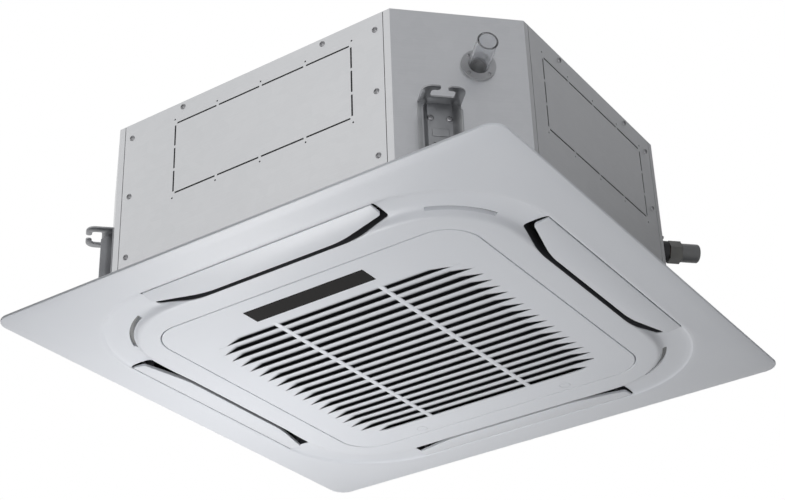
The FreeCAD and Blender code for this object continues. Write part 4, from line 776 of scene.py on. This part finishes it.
def make_screws():
    """Pan-head screws with a cross recess in place of the plain CAD heads."""
    planes = {angle: BODY_PLANE for angle in SIDES.values()}
    planes.update({angle: PIPE_PLANE if corner == "pipe" else CORNER_PLANE
                   for corner, angle in CORNERS.items()})
    outwards = {angle: Vector((math.sin(math.radians(angle)), -math.cos(math.radians(angle)), 0))
                for angle in planes}
    head_rise, cross_long, cross_wide, cross_deep, cross_over, head_edge = 2.4, 0.62, 0.22, 1.3, 1, 40
    heads, crosses = bmesh.new(), bmesh.new()
    for points in screw_solids():
        middle = sum(points, Vector()) / len(points)
        angle = max(planes, key=lambda option: middle.dot(outwards[option]) - planes[option])
        outward = outwards[angle]
        radius = (max(point.z for point in points) - min(point.z for point in points)) / 2
        top = max(point.dot(outward) for point in points)
        spot = middle + outward * (top - head_rise - middle.dot(outward))
        head = bmesh.new()
        bmesh.ops.create_uvsphere(head, u_segments=20, v_segments=10, radius=radius)
        bmesh.ops.bisect_plane(head, geom=head.verts[:] + head.edges[:] + head.faces[:], plane_co=(0, 0, 0),
                               plane_no=(0, 0, 1), clear_inner=True)
        bmesh.ops.scale(head, vec=(1, 1, head_rise / radius), verts=head.verts)
        bmesh.ops.holes_fill(head, edges=head.edges)
        facing = outward.to_track_quat("Z", "Y").to_matrix().to_4x4()
        bmesh.ops.transform(head, matrix=Matrix.Translation(spot) @ facing, verts=head.verts)
        gather(heads, head)
        cross = slab(cross_outline(radius * cross_long, radius * cross_wide), head_rise - cross_deep,
                     head_rise + cross_over)
        bmesh.ops.transform(cross, matrix=Matrix.Translation(spot) @ facing, verts=cross.verts)
        gather(crosses, cross)
    screws = combined(thing("casing_screw_heads", heads), thing("crosses", crosses), "DIFFERENCE")
    show(reshaded(screws, head_edge), "casing", "steel_screws", "casing_screws")


HANGER_HALF, HANGER_LOW, HANGER_TOP, HANGER_WALL = 33, 24, 147, 2
HANGER_SHIFT, HANGER_ROD = 35.36, 516.19
HOOK_WALL, HOOK_TIP, HOOK_MOUTH, HOOK_SLOT_HALF, HOOK_SLOT_DEPTH = 3, 18, 5.5, 18, 8


def hook_outline(face):
    """The two claws round the open T-slot for the hanging rod."""
    tip, back, front = -HANGER_ROD - HOOK_TIP, -HANGER_ROD + HOOK_SLOT_DEPTH, -HANGER_ROD - HOOK_SLOT_DEPTH
    right = ((HANGER_HALF, face), (HANGER_HALF, tip), (HOOK_MOUTH, tip), (HOOK_MOUTH, front),
             (HOOK_SLOT_HALF, front), (HOOK_SLOT_HALF, back))
    return right + tuple((-x, y) for x, y in reversed(right))


def make_brackets():
    """Hanger brackets: a screwed plate with a pressed pad, two folded sides and two round claws."""
    toward = {"drain": -1, "pipe": 1, "back_left": -1, "front_left": 1}
    claw_rounds = ((1, 15), (2, 4.5), (3, 4.5), (4, 5), (5, 3), (6, 3), (7, 5), (8, 4.5), (9, 4.5), (10, 15))
    side_foot, side_flare, side_deep, side_wall, side_fall, side_top = 20, 31, 20, 2.4, 22, 1
    claw_edge, plate_edge, plate_top, fold_edge, pad_edge, pad_edge_steps = 0.7, 0.5, 0.5, 0.6, 1, 3
    pad_half, pad_low, pad_high, pad_rise = 13, 86, 100, 1.2
    lip_half, lip_rise, lips = 11, 2.2, ((66, 68), (74, 76))
    for corner, angle in CORNERS.items():
        face = -PIPE_PLANE if corner == "pipe" else -CORNER_PLANE
        plate_face = face - HANGER_WALL
        bracket = slab(hook_outline(face), HANGER_TOP - HOOK_WALL, HANGER_TOP, claw_rounds)
        bevelled(bracket, claw_edge)
        plate = slab(box_outline(-HANGER_HALF, HANGER_HALF, plate_face, face), HANGER_LOW,
                     HANGER_TOP - plate_top)
        gather(bracket, bevelled(plate, plate_edge))
        for sign in (-1, 1):
            outline = ((sign * side_foot, face), (sign * side_flare, face - side_deep),
                       (sign * (side_flare - side_wall), face - side_deep),
                       (sign * (side_foot - side_wall), face))
            side = slab(outline, HANGER_LOW, HANGER_TOP - side_top)
            for vert in side.verts:
                if vert.co.z > (HANGER_LOW + HANGER_TOP) / 2 and vert.co.y < face - side_deep / 2:
                    vert.co.z -= side_fall
            gather(bracket, bevelled(side, fold_edge))
        pad = slab(box_outline(-pad_half, pad_half, plate_face - pad_rise, face), pad_low, pad_high)
        gather(bracket, bevelled(pad, pad_edge, pad_edge_steps))
        for low, high in lips:
            lip = slab(box_outline(-lip_half, lip_half, plate_face - lip_rise, face), low, high)
            gather(bracket, bevelled(lip, fold_edge))
        bmesh.ops.translate(bracket, vec=(toward[corner] * HANGER_SHIFT, 0, 0), verts=bracket.verts)
        turn(bracket, angle)
        soften(bracket)
        # The galvanised brackets take the darker copy of their finish, as painted shade.
        show(thing(f"{corner}_bracket", bracket), "casing", "galvanised_steel", f"{corner}_hanger_bracket",
             finish=BRACKET_PAINTED_SHADE_FINISH)


def make_stage():
    """A pale floor far below, a white surround, two soft lamps below the unit and a screen at its side."""
    floor_mesh = bmesh.new()
    floor_half, floor_drop = 40000, -6000
    bmesh.ops.create_grid(floor_mesh, x_segments=1, y_segments=1, size=floor_half)
    bmesh.ops.translate(floor_mesh, vec=(0, 0, floor_drop), verts=floor_mesh.verts)
    floor = thing("floor", floor_mesh)
    pale = Finish("pale_floor", Roughness=0.9)
    pale.set(Base_Color=pale.between(pale.noise(0.6), (0.8, 0.8, 0.8), (0.84, 0.84, 0.84)))
    pale.white_where_seen(pale.given("Principled BSDF"), pale.node("ShaderNodeEmission"), "Material Output")
    floor.data.materials.append(pale.material)

    world = bpy.data.worlds.new("surround")
    bpy.context.scene.world = world
    world.use_nodes = True
    surround = Nodes(world.node_tree)
    light = surround.node("ShaderNodeBackground", inputs={"Color": (0.97, 0.985, 1, 1), "Strength": 0.1})
    white = surround.node("ShaderNodeBackground", inputs={"Color": (1, 1, 1, 1), "Strength": 1})
    surround.white_where_seen(light, white, "World Output")

    soft_lamp("key", (-0.5, 0.04, -0.8), size=0.55, power=6.1)
    soft_lamp("fill", (0.78, -1.2, -0.8), size=0.9, power=6.7)
    make_screen()


def make_screen():
    """A tall screen out of view on the right: pale in front, grey behind and dark at its low far end."""
    away, wall, low, high, front, back = 2300, 20, -100, 5200, -4200, 7600
    screen = thing("side_screen", slab(box_outline(away, away + wall, front, back), low, high))
    screen.visible_camera = False
    cloth = Finish("screen_cloth", Roughness=0.9, Emission_Strength=1.0)
    start, length = -0.4, 2.6
    share = (cloth.axis("Y") - start) * (1 / length)
    weave = cloth.noise(300) * 0.06
    far, level, tilt, fade = 4.1, 2.95, 1.2, 0.6
    fall = ((cloth.axis("Y") - far) - (cloth.axis("Z") - level) * tilt) * (1 / fade)
    grey_part = 0.56
    tone = cloth.limited(share + weave) * grey_part + cloth.limited(fall) * (1 - grey_part)
    cloth.set(Emission_Color=cloth.between(tone, (0.55, 0.555, 0.57), (0.02, 0.02, 0.02)))
    cloth.set(Base_Color=(0.02, 0.02, 0.02, 1))
    screen.data.materials.append(cloth.material)


def soft_lamp(name, place, size, power):
    """A square area lamp that faces the unit."""
    data = bpy.data.lights.new(name, "AREA")
    data.size = size
    data.energy = power
    lamp = bpy.data.objects.new(name, data)
    lamp.location = place
    lamp.rotation_euler = (-Vector(place)).to_track_quat("-Z", "Y").to_euler()
    lamp.visible_camera = False
    bpy.context.scene.collection.objects.link(lamp)


def make_camera():
    """The photograph's view: from the right of the display side, below the panel."""
    place = Vector((1.3746, -2.1024, -1.2676))
    azimuth, elevation, roll = math.radians(33.46), math.radians(29.97), math.radians(-1.98)
    focal_pixels, frame_pixels, sensor = 1675.9, 785, 36
    ahead = Vector((-math.sin(azimuth) * math.cos(elevation), math.cos(azimuth) * math.cos(elevation),
                    math.sin(elevation)))
    level = Vector((math.cos(azimuth), math.sin(azimuth), 0))
    upright = level.cross(ahead)
    right = level * math.cos(roll) + upright * math.sin(roll)
    up = right.cross(ahead)
    data = bpy.data.cameras.new("camera")
    data.sensor_width = sensor
    data.lens = focal_pixels / frame_pixels * sensor
    camera = bpy.data.objects.new("camera", data)
    camera.matrix_world = Matrix.Translation(place) @ Matrix((right, up, -ahead)).transposed().to_4x4()
    bpy.context.scene.collection.objects.link(camera)
    bpy.context.scene.camera = camera


make_air_panel()
make_slit_shade_strips()
make_throats()
make_louvers()
make_grille()
make_screws()
make_brackets()
make_stage()
make_camera()
bpy.context.scene.view_settings.view_transform = "Standard"
